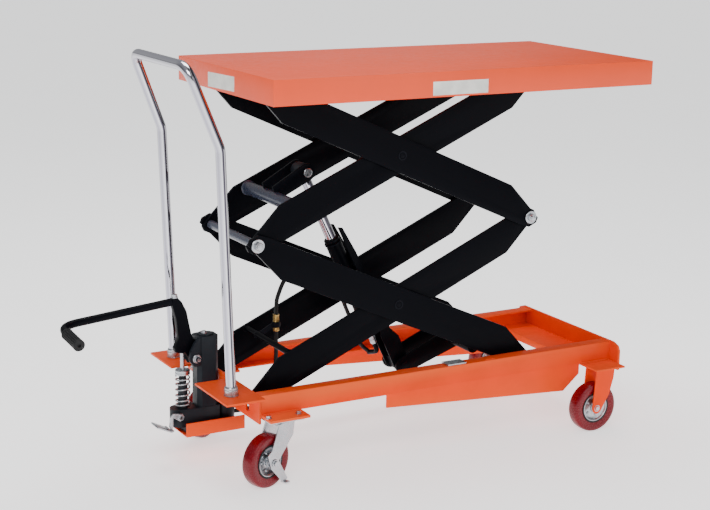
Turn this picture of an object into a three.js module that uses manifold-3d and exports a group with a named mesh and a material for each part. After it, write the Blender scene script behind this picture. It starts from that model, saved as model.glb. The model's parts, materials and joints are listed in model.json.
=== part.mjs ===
// Double scissor lift table: a hydraulic trolley with a foot pump, two pairs of crossed arms and a steel
// deck. Millimetres, +Z up. X runs from the push handle (-X) to the front end (+X), Y across the trolley,
// and Z = 0 is the floor. Parts are placed from the deck's handle end (X = 0); the whole is centred on X at
// the end.
import * as THREE from "three";
import { mergeVertices } from "three/addons/utils/BufferGeometryUtils.js";
import Module from "manifold-3d";

const wasm = await Module();
wasm.setup();

// Deck and scissor arms
const DECK = { length: 1220, width: 610, top: 1109.5, skirt: 69, sheet: 4 };
const FOLD = { arm: 983.1, angle: THREE.MathUtils.degToRad(25.71), pivotX: 26.8, baseZ: 222.4 };
const ARM = { width: 95, thick: 10, offset: 16.4, innerY: 140, outerY: 152 };
const ARM_END = { reach: 26, shortReach: 19, blunt: 8, chamfer: 107, toe: 8, toeUp: 28, shoulder: 25 };
const PIN = { pivot: 12, centre: 15, roller: 10, clearance: 0.5 };
const BOLT = {
  washer: 19, washerThick: 3.5, head: 12.5, headHigh: 9, thread: 6.5, threadOut: 17, lap: 0.5,
};
const CROSSBAR = { along: 146, up: 50, radius: 8.5 };
const CROSS_TUBE = { along: 60, up: 8, radius: 16 };
const BASE_ROLLER = { radius: 22, from: 185, to: 211 };
const DECK_ROLLER = { radius: 26, from: 172, to: 198 };
const DECK_RAIL = {
  from: 166, to: 206, bottom: 1043.2, top: 1105.2, lower: 5.2, upper: 3.6, web: 5, end: 1190,
};

// Base frame and handle
const RAIL = { outer: 221, flange: 38, bottom: 194.9, top: 249.9, wall: 5, start: 10.3, end: 1186 };
const SKIRT = {
  start: 403, startZ: 156, deep: 1019, deepZ: 116, end: 1075, endZ: 163, inset: 2, thick: 5,
  lap: 1,
};
const END_PLATE = { x: 1186.3, thick: 8, half: 263, bottom: 170, top: 252, corner: 22, facet: 8 };
const FRONT_PAN = { start: 1078, lip: 16 };
const REAR_PLATE = { x: 4, thick: 6, bottom: 170, notch: 188, notchFrom: 136, notchTo: 156 };
const CORNER = { start: -112, end: 2, tip: 265, nearInner: -56, farInner: 110, thick: 6, lift: 6.3 };
const HANDLE = {
  tube: 13.5, y: 196, topY: 183, footX: -67, bendX: -97, bendZ: 924, topX: -182, topZ: 1137,
};
const HANDLE_CORNER = 48;
const COLLAR = { radius: 20, height: 26 };

// Wheels and casters
const WHEEL = { radius: 75, width: 40, hub: 42, boss: 16, bore: 8.4, axle: 8 };
const TYRE = { shoulder: 14, edge: 5, edgeIn: 3, tread: 10 };
const HUB = { dish: 8, web: 9, rimWide: 7, rimIn: 4 };
const FRONT_CASTER = {
  x: 1087, y: 274, plateFrom: 1078, plateTo: 1183, inner: 206, outer: 302, thick: 5, leg: 4,
};
const FRONT_LEG = { backX: -8, radius: 16, kneeX: 42, kneeZ: 40, frontX: 56, frontZ: 90, topX: 58 };
const FRONT_SPACE = { inner: 7, outer: 3, axleInner: 4, axleOuter: 7 };
const REAR_CASTER = {
  x: 62, y: 224, trail: 52, yawNear: 200, yawFar: 215, leg: 4, inside: 23, axleHalf: 38,
};
const REAR_LEG = { backX: -34, frontX: 26, kneeX: -28, kneeZ: 60, heelX: 40, heelZ: -14, radius: 15 };
const MOUNT = {
  inner: 170, outer: 278, end: 130, thick: 6, plate: 5, half: 52, halfY: 46, race: 28,
  raceDeep: 13,
};
const BRAKE = { leverFrom: 32, leverTo: 35, treadFrom: 24, treadTo: 44, treadThick: 4 };
const BRAKE_OUTLINE = [
  [-50, -56],
  [-34, -66],
  [14, -14],
  [26, 26],
  [12, 36],
  [-12, 10],
];

// Foot pump
const TRAY = { start: -113, end: 66, near: 0, far: 94, floor: 80, wall: 4, height: 40 };
const HANGER = { x: 10.3, thick: 5, width: 15, top: 190 };
const PUMP = {
  y: 50, half: 27, pivotX: -71, pivotZ: 298, pivot: 8, top: 362, base: 103, seat: 154, floor: 84.3,
};
const BLOCK = { start: -66, end: -2, chamfer: 11, cap: 24, capHigh: 12, footX: -104, noseX: -113 };
const LUG = { thick: 11, reach: 20, heel: 6, front: 12, rise: 60, shoulder: 44, low: 22 };
const SLOT = { start: -110, end: -34, bottom: 268, play: 1.5 };
const PISTON = { x: -103, bottom: 125, rod: 11, capFrom: 250, capTo: 265, cap: 21, stem: 6, top: 313.4 };
const RESERVOIR = { x: 26, radius: 27.5, top: 169.7 };
const RELEASE = { x: -126, z: 138, pin: 6, thick: 5, gap: 7, treadFrom: -4, treadTo: 46, treadEnd: -156 };
// The release pedal's strap, from its pin.
const STRAP_OUTLINE = [
  [8, -8],
  [11, 0],
  [6, 10],
  [-22, 13],
  [-31, 4],
  [-33, -24],
  [-28, -33],
  [-23, -28],
  [-22, 2],
  [-1, -11],
];
const TREAD_OUTLINE = [
  [-201, 122],
  [-160, 103],
  [-152, 105],
  [-152, 109],
  [-160, 107],
  [-199, 126],
];
const CRANK_HALF = 9;
const CRANK_OUTLINE = [
  [-134, 452],
  [-134, 473],
  [-120, 476],
  [-107, 462],
  [-93, 434],
  [-84, 390],
  [-77, 355],
  [-64, 312],
  [-58, 299],
  [-62, 288],
  [-72, 284],
  [-83, 289],
  [-91, 304],
  [-98, 315.5],
  [-116, 315],
  [-127, 320],
  [-129, 330],
  [-121, 346],
  [-117, 360],
  [-123, 412],
];
const PEDAL = {
  bar: 11, startX: -135.6, startZ: 462.5, x: -455, z: 432, endY: -105, endZ: 421, corner: 52,
};
const GRIP = { radius: 16, back: 8 };
const SPRING = { radius: 19.5, wire: 2.3, from: 154.3, to: 249.7, turns: 6 };

// Hydraulic cylinder and hose. Places along the cylinder are from the rod's pin, down the rod's axis.
const CYLINDER = {
  lean: THREE.MathUtils.degToRad(64.5), barrel: 23, bore: 19.2, rod: 15, eye: 22, eyeHalf: 26,
};
const STROKE = {
  gland: 227, collar: 14, collarOut: 2, base: 555, end: 15, rodEnd: 356, piston: 13, play: 0.8,
};
const ROD_PIN = { along: 262, up: 54, radius: 10, half: 42 };
const ROD_TUBE = { along: 146, up: 36.4, radius: 19 };
const ROD_EAR = {
  radius: 25, from: 28, to: 36, lowAlong: 12, lowUp: -8, highAlong: 6, highUp: 34, rootAlong: 3,
};
const FOOT = { along: 683.5, side: 34 };
const FOOT_TUBE = {
  along: 800, up: -30, radius: 20, earRadius: 32, pinEar: 26, earFrom: 34, earTo: 42,
  pinFrom: 28.6,
};
const CHEEK = { from: 23.3, to: 27.6, webHalf: 24.5 };
const CHEEK_OUTLINE = [
  [196, 22],
  [204, 34],
  [290, 43],
  [560, 46],
  [596, 62],
  [FOOT.along, FOOT.side + 26],
  [FOOT.along + 20, FOOT.side + 16],
  [FOOT.along + 26, FOOT.side],
  [FOOT.along + 16, FOOT.side - 18],
  [FOOT.along, FOOT.side - 24],
  [566, 10],
  [540, 24.5],
];
const SPINE = { from: 296, to: 556, low: 38, high: 42.5, padFrom: 300, padTo: 330, padHigh: 40 };
const HEEL = { back: 26, front: 14, low: 14, high: 20 };
const HOSE = { radius: 6, y: 66, x: 196, sleeveFrom: 335, sleeveTo: 384, sleeve: 10, outlet: 118 };

const SIN = Math.sin(FOLD.angle);
const COS = Math.cos(FOLD.angle);
const MID_Z = FOLD.baseZ + FOLD.arm * SIN;
const TOP_Z = FOLD.baseZ + 2 * FOLD.arm * SIN;
const GAP = 0.3;
const LAP = 1;
const THROUGH = 5;
const ROUND = 16;
const FINE = 24;

const paint = (color, roughness, metalness) =>
  new THREE.MeshStandardMaterial({ color, roughness, metalness });
const ORANGE = paint(0xe8572a, 0.42, 0.1);
const BLACK = paint(0x1d1f26, 0.38, 0.15);
const PUMP_GREY = paint(0x2c3139, 0.5, 0.15);
const CHROME = paint(0xd8dade, 0.08, 1);
const ZINC = paint(0xc4c8cc, 0.32, 0.9);
const STEEL = paint(0x5d6470, 0.35, 0.8);
const URETHANE = paint(0x8f1524, 0.3, 0);
const RUBBER = paint(0x17181a, 0.75, 0);

// Solids: every shape below is a closed BufferGeometry, joined and cut as manifold solids.
function solid(geometry) {
  const bare = geometry.clone();
  bare.deleteAttribute("normal");
  bare.deleteAttribute("uv");
  const merged = mergeVertices(bare, 1e-4);
  return new wasm.Manifold(
    new wasm.Mesh({
      numProp: 3,
      vertProperties: merged.attributes.position.array,
      triVerts: new Uint32Array(merged.index.array),
    }),
  );
}

function surface(made) {
  const mesh = made.getMesh();
  const geometry = new THREE.BufferGeometry();
  geometry.setAttribute("position", new THREE.BufferAttribute(mesh.vertProperties, 3));
  geometry.setIndex(new THREE.BufferAttribute(mesh.triVerts, 1));
  return geometry;
}

const join = (...shapes) => surface(shapes.map(solid).reduce((all, next) => all.add(next)));
const cut = (shape, ...tools) =>
  surface(tools.map(solid).reduce((left, tool) => left.subtract(tool), solid(shape)));

const box = (x0, x1, y0, y1, z0, z1) =>
  new THREE.BoxGeometry(x1 - x0, y1 - y0, z1 - z0).translate((x0 + x1) / 2, (y0 + y1) / 2, (z0 + z1) / 2);

// A round bar along X, Y or Z between two values of that axis, centred on the other two coordinates.
function bar(axis, from, to, radius, a, b, sides = ROUND) {
  const made = new THREE.CylinderGeometry(radius, radius, to - from, sides);
  const middle = (from + to) / 2;
  if (axis === "x") return made.rotateZ(-Math.PI / 2).translate(middle, a, b);
  if (axis === "y") return made.translate(a, middle, b);
  return made.rotateX(Math.PI / 2).translate(a, b, middle);
}

const outline = (points) => new THREE.Shape(points.map(([x, y]) => new THREE.Vector2(x, y)));
const extrude = (shape, depth) =>
  new THREE.ExtrudeGeometry(shape, { depth, bevelEnabled: false, curveSegments: 10 });

// A flat plate whose outline lies in X and Z, between two values of Y.
const plateY = (shape, y0, y1) => extrude(shape, y1 - y0).rotateX(Math.PI / 2).translate(0, y1, 0);
// A straight section whose outline lies in Y and Z, between two values of X.
const sectionX = (shape, x0, x1) =>
  extrude(shape, x1 - x0).rotateX(Math.PI / 2).rotateZ(Math.PI / 2).translate(x0, 0, 0);
// A flat plate whose outline lies in X and Y, between two values of Z.
const plateZ = (shape, z0, z1) => extrude(shape, z1 - z0).translate(0, 0, z0);

const circle = (radius, sides) =>
  outline(
    Array.from({ length: sides }, (_, i) => {
      const angle = (2 * Math.PI * (i + 0.5)) / sides;
      return [radius * Math.cos(angle), radius * Math.sin(angle)];
    }),
  );
const sweep = (curve, radius, sides, steps) =>
  new THREE.ExtrudeGeometry(circle(radius, sides), { steps, bevelEnabled: false, extrudePath: curve });

// A line through the points whose corners are rounded: each corner is a quadratic curve that starts and
// ends the given distance from it.
function roundedPath(points, corner) {
  const path = new THREE.CurvePath();
  let last = points[0];
  for (let i = 1; i < points.length - 1; i++) {
    const before = points[i].clone().add(points[i - 1].clone().sub(points[i]).setLength(corner));
    const after = points[i].clone().add(points[i + 1].clone().sub(points[i]).setLength(corner));
    path.add(new THREE.LineCurve3(last, before));
    path.add(new THREE.QuadraticBezierCurve3(before, points[i], after));
    last = after;
  }
  path.add(new THREE.LineCurve3(last, points[points.length - 1]));
  return path;
}

const v = (x, y, z) => new THREE.Vector3(x, y, z);

function place(parent, name, geometry, material) {
  const mesh = new THREE.Mesh(geometry, material);
  mesh.name = name;
  parent.add(mesh);
  return mesh;
}

function group(parent, x, y, z, turn = 0) {
  const made = new THREE.Group();
  made.position.set(x, y, z);
  made.rotation.y = turn;
  parent.add(made);
  return made;
}

const root = new THREE.Group();
const table = group(root, 0, 0, 0);
const SIDES = [
  ["near", -1],
  ["far", 1],
];
// The two values in rising order, on the near or far side of the middle plane.
const across = (side, a, b) => (side > 0 ? [a, b] : [-b, -a]);

// Arms. In its group, an arm's two pivots lie on the X axis; lean +1 sets the plate above its first pivot.
function armOutline(lean, startReach) {
  const tilt = Math.atan((2 * ARM.offset) / FOLD.arm);
  const half = (FOLD.arm * Math.cos(tilt)) / 2;
  const edge = ARM.width / 2;
  const end = (reach) => [
    [half - ARM_END.chamfer, -edge],
    [half + reach, ARM.offset - ARM_END.blunt],
    [half + reach, ARM.offset + ARM_END.blunt],
    [half + ARM_END.toe, ARM.offset + ARM_END.toeUp],
    [half - ARM_END.shoulder, edge],
  ];
  const all = [...end(ARM_END.reach), ...end(startReach).map(([s, t]) => [-s, -t])];
  return outline(
    all.map(([s, t]) => [
      FOLD.arm / 2 + s * Math.cos(tilt) + t * Math.sin(tilt),
      lean * (-s * Math.sin(tilt) + t * Math.cos(tilt)),
    ]),
  );
}

function arm(lean, side, layer, holes, startReach = ARM_END.reach) {
  const [y0, y1] = across(side, layer, layer + ARM.thick);
  const drill = ([along, radius]) =>
    bar("y", y0 - THROUGH, y1 + THROUGH, radius + PIN.clearance, along, 0);
  return cut(plateY(armOutline(lean, startReach), y0, y1), ...holes.map(drill));
}

function roller(side, layer, size) {
  const [pin0, pin1] = across(side, layer - LAP, size.from + LAP);
  const [y0, y1] = across(side, size.from, size.to);
  const pin = bar("y", pin0, pin1, PIN.roller, FOLD.arm, 0);
  return join(pin, bar("y", y0, y1, size.radius, FOLD.arm, 0, FINE));
}

// A washer, a hexagon nut and the end of the thread on a pin, outside a face of an arm.
function boltEnd(side, face, along) {
  const { washer, washerThick, head, headHigh, thread, threadOut, lap } = BOLT;
  const piece = (from, to, radius, sides) =>
    bar("y", ...across(side, face + from, face + to), radius, along, 0, sides);
  return [
    piece(-lap, washerThick, washer),
    piece(washerThick - lap, washerThick + headHigh, head, 6),
    piece(washerThick, threadOut, thread),
  ];
}

const lowerInner = group(table, FOLD.pivotX, 0, FOLD.baseZ, -FOLD.angle);
const lowerOuter = group(table, FOLD.pivotX, 0, MID_Z, FOLD.angle);
const upperInner = group(table, FOLD.pivotX, 0, MID_Z, -FOLD.angle);
const upperOuter = group(table, FOLD.pivotX, 0, TOP_Z, FOLD.angle);

function buildArms() {
  const middle = FOLD.arm / 2;
  const face = ARM.outerY + ARM.thick + LAP;
  for (const [name, side] of SIDES) {
    const inner = [
      [0, PIN.pivot],
      [FOLD.arm, PIN.pivot],
      [middle, PIN.centre],
    ];
    place(lowerInner, "lower_inner_arm_" + name, arm(1, side, ARM.innerY, inner), BLACK);
    const carrying = [
      [0, PIN.pivot],
      [FOLD.arm, PIN.roller],
      [middle, PIN.centre],
    ];
    place(upperInner, "upper_inner_arm_" + name, arm(1, side, ARM.innerY, carrying), BLACK);
    const [pin0, pin1] = across(side, ARM.innerY - 2 * LAP, ARM.outerY + LAP);
    const centrePin = bar("y", pin0, pin1, PIN.centre, middle, 0);
    const lowerHoles = [
      [0, PIN.pivot],
      [FOLD.arm, PIN.roller],
    ];
    const lower = join(arm(-1, side, ARM.outerY, lowerHoles), centrePin);
    place(lowerOuter, "lower_outer_arm_" + name, lower, BLACK);
    const upperHoles = [
      [0, PIN.pivot],
      [FOLD.arm, PIN.pivot],
    ];
    const upper = join(arm(-1, side, ARM.outerY, upperHoles, ARM_END.shortReach), centrePin);
    place(upperOuter, "upper_outer_arm_" + name, upper, BLACK);
    place(lowerOuter, "base_roller_" + name, roller(side, ARM.outerY, BASE_ROLLER), ZINC);
    place(upperInner, "deck_roller_" + name, roller(side, ARM.innerY, DECK_ROLLER), ZINC);
    const [bolt0, bolt1] = across(side, ARM.innerY - LAP, face);
    const bolt = join(bar("y", bolt0, bolt1, PIN.pivot, FOLD.arm, 0), ...boltEnd(side, face, FOLD.arm));
    place(upperOuter, "mid_pivot_bolt_" + name, bolt, ZINC);
  }
  const inside = ARM.innerY - GAP;
  const crossbar = bar("y", -inside, inside, CROSSBAR.radius, CROSSBAR.along, CROSSBAR.up);
  place(lowerInner, "lower_inner_crossbar", crossbar, BLACK);
  const outside = ARM.outerY - GAP;
  const crossTube = bar("y", -outside, outside, CROSS_TUBE.radius, CROSS_TUBE.along, CROSS_TUBE.up);
  place(upperOuter, "upper_outer_cross_tube", crossTube, BLACK);
  const ends = SIDES.flatMap(([, side]) => boltEnd(side, face, 0));
  place(lowerOuter, "mid_pivot_shaft", join(bar("y", -face, face, PIN.pivot, 0, 0), ...ends), STEEL);
}

// The rod's bracket on the upper inner arms: a cross tube with two ears that hold the rod's pin.
function buildRodBracket() {
  const { along, up, radius } = ROD_TUBE;
  const inside = ARM.innerY - GAP;
  const ear = new THREE.Shape();
  ear.moveTo(along + ROD_EAR.lowAlong, up + ROD_EAR.lowUp);
  ear.lineTo(ROD_PIN.along, ROD_PIN.up - ROD_EAR.radius);
  ear.absarc(ROD_PIN.along, ROD_PIN.up, ROD_EAR.radius, -Math.PI / 2, Math.PI / 2, false);
  ear.lineTo(along + ROD_EAR.highAlong, up + ROD_EAR.highUp);
  ear.lineTo(along + ROD_EAR.rootAlong, up - ROD_EAR.lowUp);
  const ears = SIDES.map(([, side]) => plateY(ear, ...across(side, ROD_EAR.from, ROD_EAR.to)));
  const pin = bar("y", -ROD_PIN.half, ROD_PIN.half, ROD_PIN.radius, ROD_PIN.along, ROD_PIN.up);
  const bracket = join(bar("y", -inside, inside, radius, along, up, FINE), ...ears, pin);
  place(upperInner, "rod_bracket", bracket, STEEL);
}

// The cylinder leans from its rod's pin down to the bracket on the lower outer arms. In its group, X runs
// down the rod's axis and Z towards the front.
const rodPin = v(
  FOLD.pivotX + ROD_PIN.along * COS - ROD_PIN.up * SIN,
  0,
  MID_Z + ROD_PIN.along * SIN + ROD_PIN.up * COS,
);
const cylinder = group(table, rodPin.x, 0, rodPin.z, CYLINDER.lean);
const foot = v(
  rodPin.x + FOOT.along * Math.cos(CYLINDER.lean) + FOOT.side * Math.sin(CYLINDER.lean),
  0,
  rodPin.z - FOOT.along * Math.sin(CYLINDER.lean) + FOOT.side * Math.cos(CYLINDER.lean),
);

function buildCylinder() {
  const { barrel, bore, rod, eye, eyeHalf } = CYLINDER;
  const { gland, collar, collarOut, base, end, rodEnd, piston, play } = STROKE;
  const pinBore = ROD_PIN.radius + PIN.clearance;
  const rodBody = cut(
    join(
      bar("y", -eyeHalf, eyeHalf, eye, 0, 0),
      bar("x", pinBore - LAP, rodEnd, rod, 0, 0),
    ),
    bar("y", -eyeHalf - THROUGH, eyeHalf + THROUGH, pinBore, 0, 0),
  );
  const pistonHead = bar("x", rodEnd - piston, rodEnd, bore - play, 0, 0);
  place(cylinder, "cylinder_rod", join(rodBody, pistonHead), CHROME);
  const barrelBody = cut(
    join(
      bar("x", gland + THROUGH, base, barrel, 0, 0),
      bar("x", gland, gland + collar, barrel + collarOut, 0, 0),
    ),
    bar("x", gland - THROUGH, gland + collar + THROUGH, rod + PIN.clearance, 0, 0),
    bar("x", gland + collar, base - end, bore, 0, 0),
  );
  place(cylinder, "cylinder_barrel", barrelBody, BLACK);
  const { from, to, webHalf } = CHEEK;
  const cheeks = SIDES.map(([, side]) => plateY(outline(CHEEK_OUTLINE), ...across(side, from, to)));
  const heel = [FOOT.along - HEEL.back, FOOT.along + HEEL.front, -webHalf, webHalf];
  const carrier = cut(
    join(
      ...cheeks,
      box(SPINE.from, SPINE.to, -webHalf, webHalf, SPINE.low, SPINE.high),
      box(SPINE.padFrom, SPINE.padTo, -webHalf, webHalf, barrel + GAP, SPINE.padHigh),
      box(...heel, FOOT.side - HEEL.low, FOOT.side + HEEL.high),
    ),
    bar("y", -to - THROUGH, to + THROUGH, pinBore, FOOT.along, FOOT.side),
  );
  place(cylinder, "cylinder_carrier", carrier, BLACK);
}

// The foot's bracket on the lower outer arms: a cross tube with two ears, each with its own short pin.
function buildFootBracket() {
  const dx = foot.x - FOLD.pivotX;
  const dz = foot.z - MID_Z;
  const footAlong = dx * COS - dz * SIN;
  const footUp = dx * SIN + dz * COS;
  const { along, up, radius, earRadius, pinEar, earFrom, earTo, pinFrom } = FOOT_TUBE;
  const run = Math.atan2(up - footUp, along - footAlong);
  const quarter = Math.PI / 2;
  const ear = new THREE.Shape();
  ear.absarc(footAlong, footUp, pinEar, run + quarter, run + 3 * quarter, false);
  ear.absarc(along, up, earRadius, run - quarter, run + quarter, false);
  const ears = SIDES.map(([, side]) => plateY(ear, ...across(side, earFrom, earTo)));
  const pins = SIDES.map(([, side]) =>
    bar("y", ...across(side, pinFrom, earTo + 2 * LAP), ROD_PIN.radius, footAlong, footUp),
  );
  const outside = ARM.outerY - GAP;
  const bracket = join(bar("y", -outside, outside, radius, along, up), ...ears, ...pins);
  place(lowerOuter, "cylinder_foot_bracket", bracket, BLACK);
}

// Deck: a folded steel tray, with a channel under each side that holds the fixed pivot and guides the
// rollers.
function buildDeck() {
  const half = DECK.width / 2;
  const bottom = DECK.top - DECK.skirt;
  const tray = cut(
    box(0, DECK.length, -half, half, bottom, DECK.top),
    box(
      DECK.sheet,
      DECK.length - DECK.sheet,
      -half + DECK.sheet,
      half - DECK.sheet,
      bottom - THROUGH,
      DECK.top - DECK.sheet,
    ),
  );
  place(table, "deck", tray, ORANGE);
  for (const [name, side] of SIDES) {
    const y = (value) => side * value;
    const section = outline([
      [y(DECK_RAIL.from), DECK_RAIL.bottom],
      [y(DECK_RAIL.to), DECK_RAIL.bottom],
      [y(DECK_RAIL.to), DECK_RAIL.top],
      [y(DECK_RAIL.from), DECK_RAIL.top],
      [y(DECK_RAIL.from), DECK_RAIL.top - DECK_RAIL.upper],
      [y(DECK_RAIL.to - DECK_RAIL.web), DECK_RAIL.top - DECK_RAIL.upper],
      [y(DECK_RAIL.to - DECK_RAIL.web), DECK_RAIL.bottom + DECK_RAIL.lower],
      [y(DECK_RAIL.from), DECK_RAIL.bottom + DECK_RAIL.lower],
    ]);
    const reach = across(side, ARM.outerY - LAP, DECK_RAIL.to - LAP);
    const pin = bar("y", ...reach, PIN.pivot, FOLD.pivotX, TOP_Z);
    const rail = join(sectionX(section, DECK.sheet + GAP, DECK_RAIL.end), pin);
    place(table, "deck_rail_" + name, rail, ORANGE);
  }
}

// Base frame: two channels with a tapered skirt, the fixed lower pivots, end plates and handle plates.
function railSection(side) {
  const y = (value) => side * value;
  const inner = RAIL.outer - RAIL.flange;
  return outline([
    [y(inner), RAIL.bottom],
    [y(RAIL.outer), RAIL.bottom],
    [y(RAIL.outer), RAIL.top],
    [y(inner), RAIL.top],
    [y(inner), RAIL.top - RAIL.wall],
    [y(RAIL.outer - RAIL.wall), RAIL.top - RAIL.wall],
    [y(RAIL.outer - RAIL.wall), RAIL.bottom + RAIL.wall],
    [y(inner), RAIL.bottom + RAIL.wall],
  ]);
}

function buildRails() {
  for (const [name, side] of SIDES) {
    const skirt = outline([
      [SKIRT.start, SKIRT.startZ],
      [SKIRT.deep, SKIRT.deepZ],
      [SKIRT.end, SKIRT.endZ],
      [SKIRT.end, RAIL.bottom + SKIRT.lap],
      [SKIRT.start, RAIL.bottom + SKIRT.lap],
    ]);
    const skirtOuter = RAIL.outer - SKIRT.inset;
    const reach = across(side, ARM.innerY - LAP, RAIL.outer - LAP);
    const pin = bar("y", ...reach, PIN.pivot, FOLD.pivotX, FOLD.baseZ);
    const mount = across(side, MOUNT.inner, MOUNT.outer);
    const rail = join(
      sectionX(railSection(side), RAIL.start, RAIL.end),
      plateY(skirt, ...across(side, skirtOuter - SKIRT.thick, skirtOuter)),
      box(RAIL.start, MOUNT.end, ...mount, RAIL.bottom - MOUNT.thick, RAIL.bottom + SKIRT.lap),
      pin,
    );
    place(table, "base_rail_" + name, rail, ORANGE);
  }
}

function buildFrontEnd() {
  const { x, thick, half, bottom, top, corner, facet } = END_PLATE;
  const { start, lip } = FRONT_PAN;
  const upper = [
    [half, top - corner],
    [half - facet, top - facet],
    [half - corner - facet, top],
  ];
  const mirrored = upper.map(([y, z]) => [-y, z]).reverse();
  const face = outline([[-half, bottom], [half, bottom], ...upper, ...mirrored]);
  const between = RAIL.outer - RAIL.flange - GAP;
  const front = join(
    sectionX(face, x, x + thick),
    box(start, x + LAP, -between, between, RAIL.bottom, RAIL.bottom + RAIL.wall),
    box(start, start + RAIL.wall, -between, between, RAIL.bottom - lip, RAIL.bottom + LAP),
  );
  place(table, "front_end_plate", front, ORANGE);
}

function buildRearEnd() {
  const { x, thick, bottom, notch, notchFrom, notchTo } = REAR_PLATE;
  const notches = SIDES.map(([, side]) =>
    box(x - THROUGH, x + thick + THROUGH, ...across(side, notchFrom, notchTo), notch, RAIL.top + THROUGH),
  );
  const crossPlate = box(x, x + thick, -RAIL.outer, RAIL.outer, bottom, RAIL.top);
  place(table, "rear_cross_plate", cut(crossPlate, ...notches), ORANGE);
  const plateTop = RAIL.top + CORNER.lift;
  const plateBottom = plateTop - CORNER.thick;
  const nearPlate = box(CORNER.start, CORNER.end, -CORNER.tip, CORNER.nearInner, plateBottom, plateTop);
  const farPlate = box(CORNER.start, CORNER.end, CORNER.farInner, CORNER.tip, plateBottom, plateTop);
  place(table, "handle_plate_near", nearPlate, ORANGE);
  place(table, "handle_plate_far", farPlate, ORANGE);
}

// The push handle: one bent tube, with a collar nut at each foot.
function buildHandle() {
  const foot = RAIL.top + CORNER.lift + GAP;
  const leg = (side) => [
    v(HANDLE.footX, side * HANDLE.y, foot),
    v(HANDLE.bendX, side * HANDLE.y, HANDLE.bendZ),
    v(HANDLE.topX, side * HANDLE.topY, HANDLE.topZ),
  ];
  const points = [...leg(-1), ...leg(1).reverse()];
  const tube = sweep(roundedPath(points, HANDLE_CORNER), HANDLE.tube, 10, 46);
  const collars = SIDES.map(([, s]) =>
    bar("z", foot, foot + COLLAR.height, COLLAR.radius, HANDLE.footX, s * HANDLE.y),
  );
  const around = 2 * COLLAR.radius;
  const below = box(
    HANDLE.footX - around,
    HANDLE.footX + around,
    -HANDLE.y - around,
    HANDLE.y + around,
    foot - around,
    foot,
  );
  place(table, "push_handle", cut(join(tube, ...collars), below), CHROME);
}

// Wheels: a polyurethane tyre on a metal hub. A profile runs from the middle out, turned about the axle.
const turned = (profile, sides) =>
  new THREE.LatheGeometry(profile.map(([radius, y]) => new THREE.Vector2(radius, y)), sides);

function tyre() {
  const half = WHEEL.width / 2;
  const inner = WHEEL.hub + GAP;
  const { radius } = WHEEL;
  const side = [
    [inner, half - TYRE.edgeIn],
    [radius - TYRE.shoulder, half],
    [radius - TYRE.edge, half - TYRE.edgeIn],
    [radius, half - TYRE.tread],
  ];
  const mirrored = side.map(([r, y]) => [r, -y]);
  return turned([...mirrored, ...side.reverse(), mirrored[0]], 28);
}

function hub() {
  const half = WHEEL.width / 2;
  const side = [
    [WHEEL.bore, half],
    [WHEEL.boss, half],
    [WHEEL.boss + 2 * LAP, half - HUB.dish],
    [WHEEL.hub - HUB.rimWide, half - HUB.web],
    [WHEEL.hub, half - HUB.rimIn],
  ];
  const mirrored = side.map(([r, y]) => [r, -y]);
  return turned([...mirrored, ...side.reverse(), mirrored[0]], ROUND);
}

function placeWheel(parent, kind, name) {
  place(parent, kind + "_tyre_" + name, tyre(), URETHANE);
  place(parent, kind + "_hub_" + name, hub(), ZINC);
}

// Front casters: fixed forks under the rails. The legs lean back to the axle.
function buildFrontCasters() {
  const plateTop = RAIL.bottom - GAP;
  const legTop = plateTop - FRONT_CASTER.thick - WHEEL.radius + LAP;
  const { backX, radius, kneeX, kneeZ, frontX, frontZ, topX } = FRONT_LEG;
  const leg = new THREE.Shape();
  leg.moveTo(backX, legTop);
  leg.lineTo(-radius, 0);
  leg.absarc(0, 0, radius, Math.PI, 1.85 * Math.PI, false);
  leg.lineTo(kneeX, kneeZ);
  leg.lineTo(frontX, frontZ);
  leg.lineTo(topX, legTop);
  const { x, y, plateFrom, plateTo, thick } = FRONT_CASTER;
  for (const [name, side] of SIDES) {
    placeWheel(group(table, x, side * y, WHEEL.radius), "front", name);
    const plate = across(side, FRONT_CASTER.inner, FRONT_CASTER.outer);
    const inner = y - WHEEL.width / 2 - FRONT_SPACE.inner;
    const outer = y + WHEEL.width / 2 + FRONT_SPACE.outer;
    const axle = across(side, inner - FRONT_SPACE.axleInner, outer + FRONT_SPACE.axleOuter);
    const legs = [inner, outer].map((from) =>
      plateY(leg, ...across(side, from, from + FRONT_CASTER.leg)).translate(x, 0, WHEEL.radius),
    );
    const fork = join(
      box(plateFrom, plateTo, ...plate, plateTop - thick, plateTop),
      ...legs,
      bar("y", ...axle, WHEEL.axle, x, WHEEL.radius),
    );
    place(table, "front_fork_" + name, fork, ORANGE);
  }
}

// Rear casters: swivel forks with a foot brake, turned as they stand. In the swivel's group, X points along
// the trail from the swivel's axis to the axle, and Y lies along the axle.
function rearLeg(top) {
  const { backX, frontX, kneeX, kneeZ, heelX, heelZ, radius } = REAR_LEG;
  const leg = new THREE.Shape();
  leg.moveTo(backX, top);
  leg.lineTo(kneeX, kneeZ);
  leg.lineTo(heelX, heelZ);
  leg.absarc(REAR_CASTER.trail, 0, radius, -0.6 * Math.PI, 0.2 * Math.PI, false);
  leg.lineTo(frontX, top);
  return leg;
}

function brakePedal() {
  const { leverFrom, leverTo, treadFrom, treadTo, treadThick } = BRAKE;
  const [[tipX], [heelX, low]] = BRAKE_OUTLINE;
  return cut(
    join(
      plateY(outline(BRAKE_OUTLINE), leverFrom, leverTo),
      box(tipX, heelX, treadFrom, treadTo, low, low + treadThick),
    ),
    bar("y", leverFrom - THROUGH, leverTo + THROUGH, WHEEL.axle + PIN.clearance, 0, 0),
  );
}

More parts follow.
